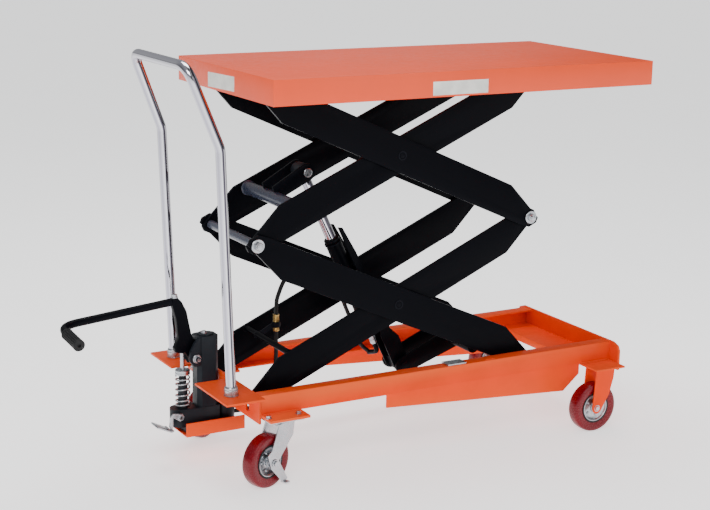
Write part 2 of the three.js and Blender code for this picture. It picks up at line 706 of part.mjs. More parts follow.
function buildRearCasters() {
  const plateTop = RAIL.bottom - 2 * GAP - MOUNT.thick;
  const plateBottom = plateTop - MOUNT.plate;
  const crownTop = plateTop - MOUNT.raceDeep - GAP - WHEEL.radius;
  const legTop = crownTop - LAP;
  for (const [name, side] of SIDES) {
    const y = side * REAR_CASTER.y;
    const middle = REAR_CASTER.x + 3 * LAP;
    const ends = [middle - MOUNT.half, middle + MOUNT.half];
    const plate = join(
      box(...ends, y - MOUNT.halfY, y + MOUNT.halfY, plateBottom, plateTop),
      bar("z", plateTop - MOUNT.raceDeep, plateBottom + LAP, MOUNT.race, REAR_CASTER.x, y),
    );
    place(table, "swivel_plate_" + name, plate, ZINC);
    const swivel = group(table, REAR_CASTER.x, y, WHEEL.radius);
    const yaw = side < 0 ? REAR_CASTER.yawNear : REAR_CASTER.yawFar;
    swivel.rotation.z = THREE.MathUtils.degToRad(yaw);
    const { inside, leg, trail, axleHalf } = REAR_CASTER;
    const outside = inside + leg;
    const legs = [-outside, inside].map((from) => plateY(rearLeg(legTop), from, from + leg));
    const fork = join(
      ...legs,
      box(REAR_LEG.backX, REAR_LEG.frontX, -outside, outside, crownTop - leg - LAP, crownTop),
      bar("y", -axleHalf, axleHalf, WHEEL.axle, trail, 0),
    );
    place(swivel, "rear_fork_" + name, fork, ZINC);
    placeWheel(group(swivel, trail, 0, 0), "rear", name);
    place(group(swivel, trail, 0, 0), "brake_pedal_" + name, brakePedal(), ZINC);
  }
}

// The foot pump stands in a tray under the handle's plates: a casting that holds the pump's piston and its
// spring, a crank with a long pedal that presses the piston, a release pedal and the oil reservoir.
function buildTray() {
  const { start, end, near, far, floor, wall, height } = TRAY;
  const { x, thick, width, top } = HANGER;
  const tray = join(
    box(start, end, near, far, floor, floor + wall),
    box(start, end, near, near + wall, floor, floor + height),
    box(start, end, far - wall, far, floor, floor + height),
    box(x, x + thick, far - width, far, floor, top),
  );
  place(table, "pump_tray", tray, ORANGE);
}

function buildPumpBody() {
  const { y, half, pivotX, pivotZ, pivot, top, base, seat, floor } = PUMP;
  const { start, end, chamfer, cap, capHigh, footX, noseX } = BLOCK;
  const nearFace = y - half;
  const farFace = y + half;
  const column = outline([
    [start, nearFace + chamfer],
    [start + chamfer, nearFace],
    [end - chamfer, nearFace],
    [end, nearFace + chamfer],
    [end, farFace - chamfer],
    [end - chamfer, farFace],
    [start + chamfer, farFace],
    [start, farFace - chamfer],
  ]);
  const lug = outline([
    [pivotX + LUG.front, pivotZ + LUG.rise],
    [pivotX - LUG.heel, pivotZ + LUG.shoulder],
    [pivotX - LUG.reach + 2 * LAP, pivotZ + LUG.reach],
    [pivotX - LUG.reach, pivotZ - LUG.heel],
    [pivotX - LUG.heel - 2 * LAP, pivotZ - LUG.low],
    [pivotX + LUG.front, pivotZ - LUG.low],
  ]);
  const lugs = [nearFace, farFace - LUG.thick].map((from) => plateY(lug, from, from + LUG.thick));
  const open = CRANK_HALF + SLOT.play;
  const slot = box(SLOT.start, SLOT.end, y - open, y + open, SLOT.bottom, top - capHigh - 4 * LAP);
  const wide = [nearFace - LAP, farFace + LAP];
  const body = cut(
    join(
      bar("z", base, seat, half + LAP, noseX, y, FINE),
      box(noseX, start + 4 * LAP, ...wide, base, seat),
      box(footX, end, ...wide, floor, seat),
      plateZ(column, base, top - 4 * LAP),
      bar("z", top - 5 * LAP, top, cap, (start + end) / 2, y, 6),
      ...lugs,
      bar("y", nearFace - RELEASE.gap - 11 * LAP, y, RELEASE.pin, RELEASE.x, RELEASE.z),
    ),
    slot,
    bar("z", floor + 2 * THROUGH, seat + THROUGH, PISTON.rod + PIN.clearance, PISTON.x, y),
  );
  const pinReach = half + 2 * pivot;
  const pin = bar("y", y - pinReach, y + pinReach, pivot, pivotX, pivotZ);
  place(table, "pump_body", join(body, pin), PUMP_GREY);
  const reservoir = bar("z", floor, RESERVOIR.top, RESERVOIR.radius, RESERVOIR.x, y, FINE);
  place(table, "reservoir", reservoir, PUMP_GREY);
}

function buildPiston() {
  const { x, bottom, rod, capFrom, capTo, cap, stem, top } = PISTON;
  const piston = join(
    bar("z", bottom, capFrom + 2 * LAP, rod, x, PUMP.y),
    bar("z", capFrom, capTo, cap, x, PUMP.y),
    bar("z", capTo - 2 * LAP, top, stem, x, PUMP.y),
  );
  place(table, "pump_piston", piston, ZINC);
  place(table, "return_spring", sweep(new Coil(), SPRING.wire, 6, SPRING.turns * 9), STEEL);
}

function buildCrank() {
  const { y, pivotX, pivotZ, pivot } = PUMP;
  const crank = cut(
    plateY(outline(CRANK_OUTLINE), y - CRANK_HALF, y + CRANK_HALF),
    bar("y", y - CRANK_HALF - THROUGH, y + CRANK_HALF + THROUGH, pivot + PIN.clearance, pivotX, pivotZ),
  );
  place(table, "pump_crank", crank, BLACK);
  const { startX, startZ, x, z, endY, endZ, corner } = PEDAL;
  const bend = v(x, y, z);
  const end = v(x, endY, endZ);
  const along = end.clone().sub(bend).normalize();
  const gripStart = bend.clone().addScaledVector(along, corner + GRIP.back);
  const barEnd = gripStart.clone().addScaledVector(along, -GAP);
  const path = roundedPath([v(startX, y, startZ), bend, barEnd], corner);
  place(table, "pedal_bar", sweep(path, PEDAL.bar, 12, 20), BLACK);
  // The grip's flats lie at its full radius.
  const gripCorner = GRIP.radius / Math.cos(Math.PI / ROUND);
  place(table, "pedal_grip", sweep(new THREE.LineCurve3(gripStart, end), gripCorner, ROUND, 1), RUBBER);
}

function buildReleasePedal() {
  const { x, z, pin, thick, gap, treadFrom, treadTo, treadEnd } = RELEASE;
  const strap = outline(STRAP_OUTLINE.map(([dx, dz]) => [x + dx, z + dz]));
  const tread = outline(TREAD_OUTLINE);
  const from = PUMP.y - PUMP.half - gap - thick;
  const to = from + thick;
  const beyond = box(treadEnd, 0, to, treadTo + LAP, 0, z);
  const treads = [plateY(tread, treadFrom, to), cut(plateY(tread, from, treadTo), beyond)];
  const pedal = cut(
    join(plateY(strap, from, to), ...treads),
    bar("y", from - THROUGH, to + THROUGH, pin + PIN.clearance, x, z),
  );
  place(table, "release_pedal", pedal, ZINC);
}

class Coil extends THREE.Curve {
  getPoint(t, target = new THREE.Vector3()) {
    const clear = SPRING.wire + GAP;
    const rise = SPRING.to - SPRING.from - 2 * clear;
    const turn = 2 * Math.PI * SPRING.turns * t;
    return target.set(
      PISTON.x + SPRING.radius * Math.cos(turn),
      PUMP.y + SPRING.radius * Math.sin(turn),
      SPRING.from + clear + rise * t,
    );
  }
}

// The hydraulic hose: from the pump to a sleeve clamped beside the crossbar, and on to the cylinder's port.
function buildHose() {
  const { radius, y, x, sleeveFrom, sleeveTo, sleeve, outlet } = HOSE;
  const lower = new THREE.CatmullRomCurve3([
    v(RESERVOIR.x + RESERVOIR.radius + GAP, PUMP.y, outlet),
    v(80, PUMP.y, outlet),
    v(122, PUMP.y + 4, outlet + 4),
    v(166, y - 4, outlet + 28),
    v(190, y, outlet + 82),
    v(x, y, outlet + 140),
    v(x, y, sleeveFrom - 30),
    v(x, y, sleeveFrom - GAP),
  ]);
  place(table, "hose_lower", sweep(lower, radius, 8, 20), RUBBER);
  const upper = new THREE.CatmullRomCurve3([
    v(x, y, sleeveTo + GAP),
    v(x, y, sleeveTo + 20),
    v(x + 6, y, 440),
    v(x + 38, y + 2, 492),
    v(x + 110, y, 512),
    v(x + 190, y, 450),
    v(x + 236, y, 360),
    v(x + 270, y - 8, 270),
    v(x + 300, y - 20, 236),
  ]);
  place(table, "hose_upper", sweep(upper, radius, 8, 26), RUBBER);
  place(table, "hose_sleeve", bar("z", sleeveFrom, sleeveTo, sleeve, x, y), ZINC);
}

buildArms();
buildRodBracket();
buildCylinder();
buildFootBracket();
buildDeck();
buildRails();
buildFrontEnd();
buildRearEnd();
buildHandle();
buildFrontCasters();
buildRearCasters();
buildTray();
buildPumpBody();
buildPiston();
buildCrank();
buildReleasePedal();
buildHose();

root.updateMatrixWorld(true);
const bounds = new THREE.Box3().setFromObject(root);
table.position.x = -(bounds.min.x + bounds.max.x) / 2;

export default root;
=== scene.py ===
"""Double scissor lift table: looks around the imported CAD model. Metres, row frame, floor at Z = 0."""

import json
import math

import bmesh
import bpy
from mathutils import Matrix, Vector

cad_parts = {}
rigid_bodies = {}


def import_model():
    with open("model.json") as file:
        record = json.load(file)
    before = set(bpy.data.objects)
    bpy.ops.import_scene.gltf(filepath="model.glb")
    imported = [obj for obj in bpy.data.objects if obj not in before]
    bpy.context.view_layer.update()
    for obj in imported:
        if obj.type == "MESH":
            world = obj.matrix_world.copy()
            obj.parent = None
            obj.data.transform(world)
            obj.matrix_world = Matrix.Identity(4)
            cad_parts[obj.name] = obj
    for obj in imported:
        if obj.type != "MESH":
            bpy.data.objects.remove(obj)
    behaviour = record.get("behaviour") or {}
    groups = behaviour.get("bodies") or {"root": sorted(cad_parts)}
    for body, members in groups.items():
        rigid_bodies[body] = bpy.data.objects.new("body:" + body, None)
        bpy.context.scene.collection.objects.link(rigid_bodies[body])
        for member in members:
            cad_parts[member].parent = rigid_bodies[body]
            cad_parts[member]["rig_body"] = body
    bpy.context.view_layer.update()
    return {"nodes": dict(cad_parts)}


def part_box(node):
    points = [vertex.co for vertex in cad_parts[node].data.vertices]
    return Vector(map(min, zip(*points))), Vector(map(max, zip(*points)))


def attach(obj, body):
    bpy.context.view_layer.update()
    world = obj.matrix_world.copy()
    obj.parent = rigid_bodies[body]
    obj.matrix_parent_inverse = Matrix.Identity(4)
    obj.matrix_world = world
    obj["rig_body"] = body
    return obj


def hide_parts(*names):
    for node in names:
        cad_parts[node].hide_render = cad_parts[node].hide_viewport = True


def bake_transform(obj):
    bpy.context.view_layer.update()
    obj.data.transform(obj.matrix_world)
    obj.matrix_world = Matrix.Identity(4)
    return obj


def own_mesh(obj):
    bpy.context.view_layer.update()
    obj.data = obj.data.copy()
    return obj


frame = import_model()

# Places below are in millimetres from the deck's handle end, as the part is drawn.
MM = 0.001
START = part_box("deck")[0].x
DECK_LOW, DECK_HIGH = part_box("deck")
NEAR, FAR = ("near", -1), ("far", 1)
SIDES = (NEAR, FAR)
UP = Vector((0, 0, 1))
ACROSS = Vector((0, 1, 0))


def at(x, y, z):
    """A point given in millimetres from the deck's handle end."""
    return Vector((START + x * MM, y * MM, z * MM))


def centre(node):
    low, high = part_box(node)
    return (low + high) / 2


# ---------------------------------------------------------------- camera
CAMERA = {
    "place": (-1742.4, -3822.1, 1595.4),
    "azimuth": -29.45,
    "elevation": 13.39,
    "roll": 0.98,
    "lens": 79.41,
}
SENSOR = 36
FAR_CLIP = 60


def make_camera():
    turn, tip, roll = (math.radians(CAMERA[k]) for k in ("azimuth", "elevation", "roll"))
    ahead = Vector((-math.sin(turn) * math.cos(tip), math.cos(turn) * math.cos(tip), -math.sin(tip)))
    right = Vector((math.cos(turn), math.sin(turn), 0))
    above = right.cross(ahead)
    right, above = (
        right * math.cos(roll) + above * math.sin(roll),
        above * math.cos(roll) - right * math.sin(roll),
    )
    data = bpy.data.cameras.new("camera")
    data.lens = CAMERA["lens"]
    data.sensor_width = SENSOR
    data.clip_end = FAR_CLIP
    camera = bpy.data.objects.new("camera", data)
    rows = Matrix((right, above, -ahead)).transposed().to_4x4()
    camera.matrix_world = Matrix.Translation(at(*CAMERA["place"])) @ rows
    bpy.context.scene.collection.objects.link(camera)
    bpy.context.scene.camera = camera


make_camera()


# ---------------------------------------------------------------- materials
def new_material(name):
    material = bpy.data.materials.new(name)
    material.use_nodes = True
    nodes = material.node_tree.nodes
    nodes.clear()
    shader = nodes.new("ShaderNodeBsdfPrincipled")
    output = nodes.new("ShaderNodeOutputMaterial")
    material.node_tree.links.new(shader.outputs["BSDF"], output.inputs["Surface"])
    return material, material.node_tree, shader


def coordinates(tree, stretch=(1, 1, 1)):
    where = tree.nodes.new("ShaderNodeTexCoord")
    scale = tree.nodes.new("ShaderNodeMapping")
    scale.inputs["Scale"].default_value = stretch
    tree.links.new(where.outputs["Object"], scale.inputs["Vector"])
    return scale.outputs["Vector"]


def noise(tree, vector, scale, detail=4.0, roughness=0.55):
    node = tree.nodes.new("ShaderNodeTexNoise")
    node.inputs["Scale"].default_value = scale
    node.inputs["Detail"].default_value = detail
    node.inputs["Roughness"].default_value = roughness
    tree.links.new(vector, node.inputs["Vector"])
    return node.outputs["Fac"]


def ramp(tree, value, stops):
    node = tree.nodes.new("ShaderNodeValToRGB")
    elements = node.color_ramp.elements
    while len(elements) < len(stops):
        elements.new(0.5)
    for element, (place, color) in zip(elements, stops):
        element.position = place
        element.color = (*color, 1)
    tree.links.new(value, node.inputs["Fac"])
    return node.outputs["Color"]


def spread(tree, value, low, high, start=0.35, end=0.65):
    node = tree.nodes.new("ShaderNodeMapRange")
    for name, number in (("From Min", start), ("From Max", end), ("To Min", low), ("To Max", high)):
        node.inputs[name].default_value = number
    tree.links.new(value, node.inputs["Value"])
    return node.outputs["Result"]


def bump(tree, shader, height, strength, distance, below=None):
    node = tree.nodes.new("ShaderNodeBump")
    node.inputs["Strength"].default_value = strength
    node.inputs["Distance"].default_value = distance
    tree.links.new(height, node.inputs["Height"])
    if below is not None:
        tree.links.new(below, node.inputs["Normal"])
    tree.links.new(node.outputs["Normal"], shader.inputs["Normal"])
    return node.outputs["Normal"]


def worn_edges(tree, color, worn, low=0.52, high=0.60):
    """Mixes a worn colour in along convex edges."""
    geometry = tree.nodes.new("ShaderNodeNewGeometry")
    edge = spread(tree, geometry.outputs["Pointiness"], 0.0, 1.0, low, high)
    mix = tree.nodes.new("ShaderNodeMix")
    mix.data_type = "RGBA"
    tree.links.new(edge, mix.inputs["Factor"])
    tree.links.new(color, mix.inputs["A"])
    mix.inputs["B"].default_value = (*worn, 1)
    return mix.outputs["Result"]


def shade(color, factor):
    return tuple(min(1.0, c * factor) for c in color)


def paint(name, color, gloss, coat, peel=0.00012, worn=None, shine=0.4):
    """Sprayed enamel: a slightly uneven colour, orange peel, fine dust in the gloss and paler edges."""
    material, tree, shader = new_material(name)
    vector = coordinates(tree)
    cloud = noise(tree, vector, 7.0, 5.0)
    tone = ramp(tree, cloud, [(0.3, shade(color, 0.9)), (0.7, shade(color, 1.08))])
    if worn is not None:
        tone = worn_edges(tree, tone, worn)
    tree.links.new(tone, shader.inputs["Base Color"])
    dust = noise(tree, vector, 60.0, 6.0, 0.7)
    tree.links.new(spread(tree, dust, gloss * 0.85, gloss * 1.25), shader.inputs["Roughness"])
    grain = noise(tree, vector, 420.0, 2.0)
    bump(tree, shader, grain, 0.25, peel)
    shader.inputs["Specular IOR Level"].default_value = shine
    shader.inputs["Coat Weight"].default_value = coat
    shader.inputs["Coat Roughness"].default_value = 0.12
    return material


def metal(name, color, gloss, stretch, scale, depth=0.00003):
    """Bare or plated metal: long or round grain in its gloss and a faint tarnish."""
    material, tree, shader = new_material(name)
    vector = coordinates(tree, stretch)
    grain = noise(tree, vector, scale, 6.0, 0.7)
    cloud = noise(tree, coordinates(tree), 14.0, 4.0)
    tone = ramp(tree, cloud, [(0.3, shade(color, 0.86)), (0.7, shade(color, 1.08))])
    tree.links.new(tone, shader.inputs["Base Color"])
    tree.links.new(spread(tree, grain, gloss * 0.7, gloss * 1.4), shader.inputs["Roughness"])
    bump(tree, shader, grain, 0.2, depth)
    shader.inputs["Metallic"].default_value = 1.0
    return material


# Chrome's colour is painted reflection and highlight, from the faces that look to the camera's left (0) to
# those that look to its right (1).
CHROME_PAINTED_REFLECTION = [
    (0.0, (0.30, 0.30, 0.34)),
    (0.10, (0.62, 0.61, 0.67)),
    (0.30, (0.42, 0.41, 0.48)),
    (0.52, (0.60, 0.59, 0.66)),
    (0.66, (0.86, 0.86, 0.9)),
    (0.72, (0.10, 0.09, 0.12)),
    (0.84, (0.05, 0.045, 0.06)),
    (0.90, (0.6, 0.58, 0.62)),
    (1.0, (0.2, 0.19, 0.22)),
]


def plated(name, gloss):
    """Bright chrome whose colour is painted reflection: light and dark bands along its length, set by which
    way each face turns, stand in for the mirrored ends of a room and its highlights.
    """
    material, tree, shader = new_material(name)
    geometry = tree.nodes.new("ShaderNodeNewGeometry")
    facing = tree.nodes.new("ShaderNodeVectorMath")
    facing.operation = "DOT_PRODUCT"
    turn = math.radians(CAMERA["azimuth"])
    facing.inputs[1].default_value = (math.cos(turn), math.sin(turn), 0)
    tree.links.new(geometry.outputs["Normal"], facing.inputs[0])
    place = spread(tree, facing.outputs["Value"], 0.0, 1.0, -1.0, 1.0)
    grain = noise(tree, coordinates(tree, (1, 1, 0.05)), 60.0, 3.0)
    painted_reflection = ramp(tree, place, CHROME_PAINTED_REFLECTION)
    tree.links.new(painted_reflection, shader.inputs["Base Color"])
    tree.links.new(spread(tree, grain, gloss * 0.7, gloss * 1.4), shader.inputs["Roughness"])
    bump(tree, shader, grain, 0.1, 0.00002)
    shader.inputs["Metallic"].default_value = 1.0
    return material


def moulded(name, color, gloss, scale, depth):
    """Moulded rubber or polyurethane: fine texture, soft gloss and a slight bloom."""
    material, tree, shader = new_material(name)
    vector = coordinates(tree)
    cloud = noise(tree, vector, 22.0, 4.0)
    tone = ramp(tree, cloud, [(0.3, shade(color, 0.82)), (0.7, shade(color, 1.15))])
    tree.links.new(tone, shader.inputs["Base Color"])
    grain = noise(tree, vector, scale, 3.0)
    tree.links.new(spread(tree, grain, gloss * 0.85, gloss * 1.2), shader.inputs["Roughness"])
    bump(tree, shader, grain, 0.3, depth)
    shader.inputs["Specular IOR Level"].default_value = 0.3
    return material


ORANGE, ORANGE_WORN = (0.90, 0.050, 0.0), (0.9, 0.11, 0.02)
# The deck is the same orange paint as the frame, tinted slightly pinker as painted glare for its top.
DECK, DECK_WORN = (0.90, 0.045, 0.002), (0.9, 0.11, 0.03)
BLACK, BLACK_WORN = (0.0016, 0.0018, 0.0034), (0.008, 0.009, 0.013)
CASTING, CASTING_WORN = (0.006, 0.009, 0.014), (0.02, 0.024, 0.03)
STEEL, STEEL_WORN = (0.035, 0.042, 0.07), (0.09, 0.1, 0.13)
EVEN = (1, 1, 1)
MATERIALS = {
    "orange_paint": paint("orange_paint", ORANGE, 0.34, 0.0, worn=ORANGE_WORN, shine=0.08),
    "deck_paint": paint("deck_paint", DECK, 0.34, 0.0, peel=0.00003, worn=DECK_WORN, shine=0.3),
    "black_paint": paint("black_paint", BLACK, 0.34, 0.0, worn=BLACK_WORN, shine=0.04),
    "pump_casting": paint("pump_casting", CASTING, 0.42, 0.0, peel=0.0004, worn=CASTING_WORN, shine=0.2),
    "blue_steel": paint("blue_steel", STEEL, 0.28, 0.1, worn=STEEL_WORN),
    "zinc": metal("zinc", (0.50, 0.52, 0.55), 0.30, EVEN, 90.0),
    "chrome": plated("chrome", 0.08),
    "red_urethane": moulded("red_urethane", (0.17, 0.002, 0.008), 0.26, 160.0, 0.00003),
    "black_rubber": moulded("black_rubber", (0.006, 0.006, 0.007), 0.55, 260.0, 0.00015),
    "brass": metal("brass", (0.55, 0.36, 0.12), 0.32, EVEN, 120.0),
    "label": moulded("label", (0.78, 0.77, 0.72), 0.4, 500.0, 0.00001),
}


# ---------------------------------------------------------------- mesh helpers
SHARP = math.radians(32)


def shape_object(name, bm):
    """An object from a bmesh: its faces are smooth, and edges stay sharp where faces meet at an angle."""
    bmesh.ops.remove_doubles(bm, verts=bm.verts, dist=1e-6)
    bmesh.ops.recalc_face_normals(bm, faces=bm.faces)
    for face in bm.faces:
        face.smooth = True
    for edge in bm.edges:
        edge.smooth = len(edge.link_faces) == 2 and edge.calc_face_angle(0) < SHARP
    mesh = bpy.data.meshes.new(name)
    bm.to_mesh(mesh)
    bm.free()
    made = bpy.data.objects.new(name, mesh)
    bpy.context.scene.collection.objects.link(made)
    return made


def dress(made, material, body=None, node=None):
    made.data.materials.clear()
    made.data.materials.append(MATERIALS[material])
    if body is not None:
        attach(made, body)
    if node is not None:
        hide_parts(*([node] if isinstance(node, str) else node))
    return made


def soften(bm, width, segments=2, angle=SHARP):
    """Rounds every edge of a solid whose faces meet at more than the angle."""
    edges = [e for e in bm.edges if len(e.link_faces) == 2 and e.calc_face_angle(0) > angle]
    bmesh.ops.bevel(
        bm,
        geom=edges,
        offset=width * MM,
        offset_type="OFFSET",
        segments=segments,
        profile=0.6,
        affect="EDGES",
        clamp_overlap=True,
    )


def body_of_node(node):
    return frame["nodes"][node]["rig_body"]


def refined(node, material, width=1.2, name=None):
    """A CAD plate or casting again, with its flat faces made whole and its edges rounded."""
    bm = bmesh.new()
    bm.from_mesh(frame["nodes"][node].data)
    bmesh.ops.remove_doubles(bm, verts=bm.verts, dist=2e-6)
    bmesh.ops.dissolve_limit(
        bm, angle_limit=math.radians(0.5), verts=bm.verts, edges=bm.edges, use_dissolve_boundaries=False
    )
    soften(bm, width)
    bmesh.ops.triangulate(bm, faces=[f for f in bm.faces if len(f.verts) > 4])
    return dress(shape_object(name or node + "_finished", bm), material, body_of_node(node), node)


def ring_points(place, axis, radius, sides, turn=0.0):
    axis = axis.normalized()
    side = axis.cross(UP if abs(axis.z) < 0.9 else ACROSS).normalized()
    other = axis.cross(side)
    step = 2 * math.pi / sides
    angles = [i * step + turn for i in range(sides)]
    return [place + (side * math.cos(a) + other * math.sin(a)) * radius for a in angles]


def add_rings(bm, rings, closed_ends=True):
    """Joins rings of points, one after another, into a closed skin."""
    made = [[bm.verts.new(p) for p in ring] for ring in rings]
    count = len(made[0])
    for low, high in zip(made, made[1:]):
        for i in range(count):
            k = (i + 1) % count
            bm.faces.new((low[i], low[k], high[k], high[i]))
    if closed_ends:
        bm.faces.new(list(reversed(made[0])))
        bm.faces.new(made[-1])
    else:
        for i in range(count):
            k = (i + 1) % count
            bm.faces.new((made[-1][i], made[-1][k], made[0][k], made[0][i]))


def add_turned(bm, place, axis, profile, sides=48, turn=0.0, ring=False):
    """A turned solid. Its profile is (radius, distance along the axis) in millimetres, and closes on itself
    where ring is true."""
    axis = axis.normalized()
    rings = [ring_points(place + axis * (d * MM), axis, max(r, 0.01) * MM, sides, turn) for r, d in profile]
    add_rings(bm, rings, not ring)


def rod_profile(start, end, radius, chamfer=1.0):
    inside = radius - chamfer
    return [(inside, start), (radius, start + chamfer), (radius, end - chamfer), (inside, end)]


def turned(name, material, body, place, axis, profiles, node=None, sides=48, ring=False):
    bm = bmesh.new()
    for profile in profiles:
        add_turned(bm, place, axis, profile, sides, ring=ring)
    return dress(shape_object(name, bm), material, body, node)


def add_hexagon(bm, place, axis, radius, start, end, chamfer=1.2):
    profile = [(radius, start), (radius, end - chamfer), (radius - chamfer, end)]
    add_turned(bm, place, axis, profile, 6, math.pi / 6)


def add_plate(bm, points, low, high, across="y"):
    """A flat plate from an outline. Its points are (x, z), or (x, y) for a level plate, in millimetres."""
    place = (lambda a, b, c: at(a, c, b)) if across == "y" else (lambda a, b, c: at(a, b, c))
    first = [bm.verts.new(place(a, b, low)) for a, b in points]
    second = [bm.verts.new(place(a, b, high)) for a, b in points]
    bm.faces.new(first)
    bm.faces.new(list(reversed(second)))
    for i in range(len(points)):
        k = (i + 1) % len(points)
        bm.faces.new((first[k], first[i], second[i], second[k]))


def tube_rings(points, radii, sides):
    """Rings along a line of points, carried on from one to the next without twisting."""
    ahead = [(b - a).normalized() for a, b in zip(points, points[1:])]
    ahead.append(ahead[-1])
    tangents = [ahead[0]] + [(a + b).normalized() for a, b in zip(ahead, ahead[1:])]
    side = tangents[0].cross(UP if abs(tangents[0].z) < 0.9 else ACROSS).normalized()
    rings = []
    for point, tangent, radius in zip(points, tangents, radii):
        side = (side - tangent * side.dot(tangent)).normalized()
        other = tangent.cross(side)
        rings.append(
            [
                point + (side * math.cos(a) + other * math.sin(a)) * radius
                for a in (2 * math.pi * i / sides for i in range(sides))
            ]
        )
    return rings


def tube(name, material, body, points, radius, node=None, sides=24):
    bm = bmesh.new()
    add_rings(bm, tube_rings(points, [radius * MM] * len(points), sides))
    return dress(shape_object(name, bm), material, body, node)


def rounded_line(points, corner, steps=14):
    """The points of a line whose corners are arcs that start and end the given distance from each corner."""
    line = [points[0]]
    for before, here, after in zip(points, points[1:], points[2:]):
        a = here + (before - here).normalized() * corner * MM
        b = here + (after - here).normalized() * corner * MM
        for i in range(steps + 1):
            t = i / steps
            line.append(a * (1 - t) ** 2 + here * 2 * t * (1 - t) + b * t**2)
    line.append(points[-1])
    return line


def smooth_line(points, steps=10):
    """A Catmull-Rom curve through the points."""
    line = []
    ends = [points[0] * 2 - points[1]] + list(points) + [points[-1] * 2 - points[-2]]
    for a, b, c, d in zip(ends, ends[1:], ends[2:], ends[3:]):
        for i in range(steps):
            t = i / steps
            squared = (a * 2 - b * 5 + c * 4 - d) * t**2
            cubed = (b * 3 - a - c * 3 + d) * t**3
            line.append((b * 2 + (c - a) * t + squared + cubed) / 2)
    line.append(points[-1])
    return line


WELD = {"radius": 2.4, "pitch": 5.0, "dip": 0.82, "tip": 0.3, "steps": 4, "sides": 8}


def add_weld(bm, start, end):
    """A bead of weld: overlapping drops along a line."""
    radius, steps = WELD["radius"], WELD["steps"]
    count = max(2, int((end - start).length / (WELD["pitch"] * MM)))
    points, radii = [], []
    for i in range(count * steps + 1):
        points.append(start + (end - start) * (i / (count * steps)))
        swell = WELD["dip"] + (1 - WELD["dip"]) * abs(math.sin(math.pi * i / steps))
        radii.append((radius * swell) * MM)
    radii[0] = radii[-1] = radius * WELD["tip"] * MM
    add_rings(bm, tube_rings(points, radii, WELD["sides"]))


def weld(name, lines, body, material="orange_paint"):
    bm = bmesh.new()
    for start, end in lines:
        add_weld(bm, at(*start), at(*end))
    return dress(shape_object(name, bm), material, body)


# ---------------------------------------------------------------- deck and scissor arms
FOLD_ANGLE = math.radians(25.71)
ARM_LENGTH = 983.1
PIVOT_X, BASE_Z = 26.8, 222.4
RISE, RUN = ARM_LENGTH * math.sin(FOLD_ANGLE), ARM_LENGTH * math.cos(FOLD_ANGLE)
MID_Z, TOP_Z = BASE_Z + RISE, BASE_Z + 2 * RISE
ALONG = Vector((math.cos(FOLD_ANGLE), 0, math.sin(FOLD_ANGLE)))
ACROSS_ARM = Vector((-math.sin(FOLD_ANGLE), 0, math.cos(FOLD_ANGLE)))


ARM_FACE = 162.0
MID_BOLT = {"washer": 19, "thick": 3.4, "nut": 12.5, "nut_end": 12, "thread": 6.5, "groove": 5.7, "end": 17.5}


def plated_end(name, body, place, side):
    """A washer, a hexagon nut and the end of the thread on a pin, outside an arm."""
    axis = ACROSS * side
    start = ARM_FACE + 0.5
    washer, thick, thread = MID_BOLT["washer"], MID_BOLT["thick"], MID_BOLT["thread"]
    nut_end, end = start + MID_BOLT["nut_end"], start + MID_BOLT["end"]
    bm = bmesh.new()
    disc = [
        (washer - 1, start),
        (washer, start + 0.8),
        (washer, start + thick - 0.8),
        (washer - 1, start + thick),
    ]
    add_turned(bm, place, axis, disc)
    add_hexagon(bm, place, axis, MID_BOLT["nut"], start + thick, nut_end, 2)
    profile = [(thread, nut_end - 1)]
    for turn in range(4):
        along = nut_end + turn * 1.2
        profile += [(thread, along), (MID_BOLT["groove"], along + 0.6)]
    profile += [(thread, end - 0.7), (thread - 1.5, end)]
    add_turned(bm, place, axis, profile, 32)
    return dress(shape_object(name, bm), "zinc", body)


# How far the deck's outer faces are drawn in, so that the stickers on them stay within its size.
LABEL_ROOM = 0.7
END_LABEL = [(-71, 1051), (98, 1046), (98, 1086), (-71, 1091)]
SIDE_LABEL = [(474, 1046), (650, 1046), (650, 1083), (474, 1083)]
SKIN = 4


def inset_sides(deck):
    for vertex in deck.data.vertices:
        for axis in (0, 1):
            low, high = DECK_LOW[axis], DECK_HIGH[axis]
            if vertex.co[axis] - low < SKIN * MM:
                vertex.co[axis] += LABEL_ROOM * MM
            elif high - vertex.co[axis] < SKIN * MM:
                vertex.co[axis] -= LABEL_ROOM * MM


def make_deck():
    deck = refined("deck", "deck_paint", 2.4)
    inset_sides(deck)
    for side, _ in SIDES:
        refined("deck_rail_" + side, "orange_paint", 1.0)
    side_face = DECK_LOW.y / MM + LABEL_ROOM
    for name, corners, out in (
        ("deck_end_label", [at(LABEL_ROOM, y, z) for y, z in END_LABEL], Vector((-1, 0, 0))),
        ("deck_side_label", [at(x, side_face, z) for x, z in SIDE_LABEL], Vector((0, -1, 0))),
    ):
        label = bmesh.new()
        add_label(label, corners, out)
        dress(shape_object(name, label), "label", "table")


LABEL = {"back": -0.3, "front": 0.45, "well": 0.15, "rim": 6}


def add_label(bm, corners, out):
    """A blank sticker with a raised rim."""
    middle = sum(corners, Vector()) / len(corners)
    inset = [c + (middle - c).normalized() * LABEL["rim"] * MM for c in corners]
    back = [bm.verts.new(c + out * LABEL["back"] * MM) for c in corners]
    edge = [bm.verts.new(c + out * LABEL["front"] * MM) for c in corners]
    rim = [bm.verts.new(c + out * LABEL["front"] * MM) for c in inset]
    well = [bm.verts.new(c + out * LABEL["well"] * MM) for c in inset]
    bm.faces.new(back)
    for low, high in ((back, edge), (edge, rim), (rim, well)):
        for i in range(len(corners)):
            k = (i + 1) % len(corners)
            bm.faces.new((low[i], low[k], high[k], high[i]))
    bm.faces.new(well)


PIN_RADIUS = 12
# Cross bars: node, body, radius, place along the arm and above it, first pivot's height, way it leans.
CROSS_BARS = (
    ("lower_inner_crossbar", "lower_inner", 8.5, 146, 50, BASE_Z, 1),
    ("upper_outer_cross_tube", "upper_outer", 16, 60, 8, TOP_Z, -1),
)
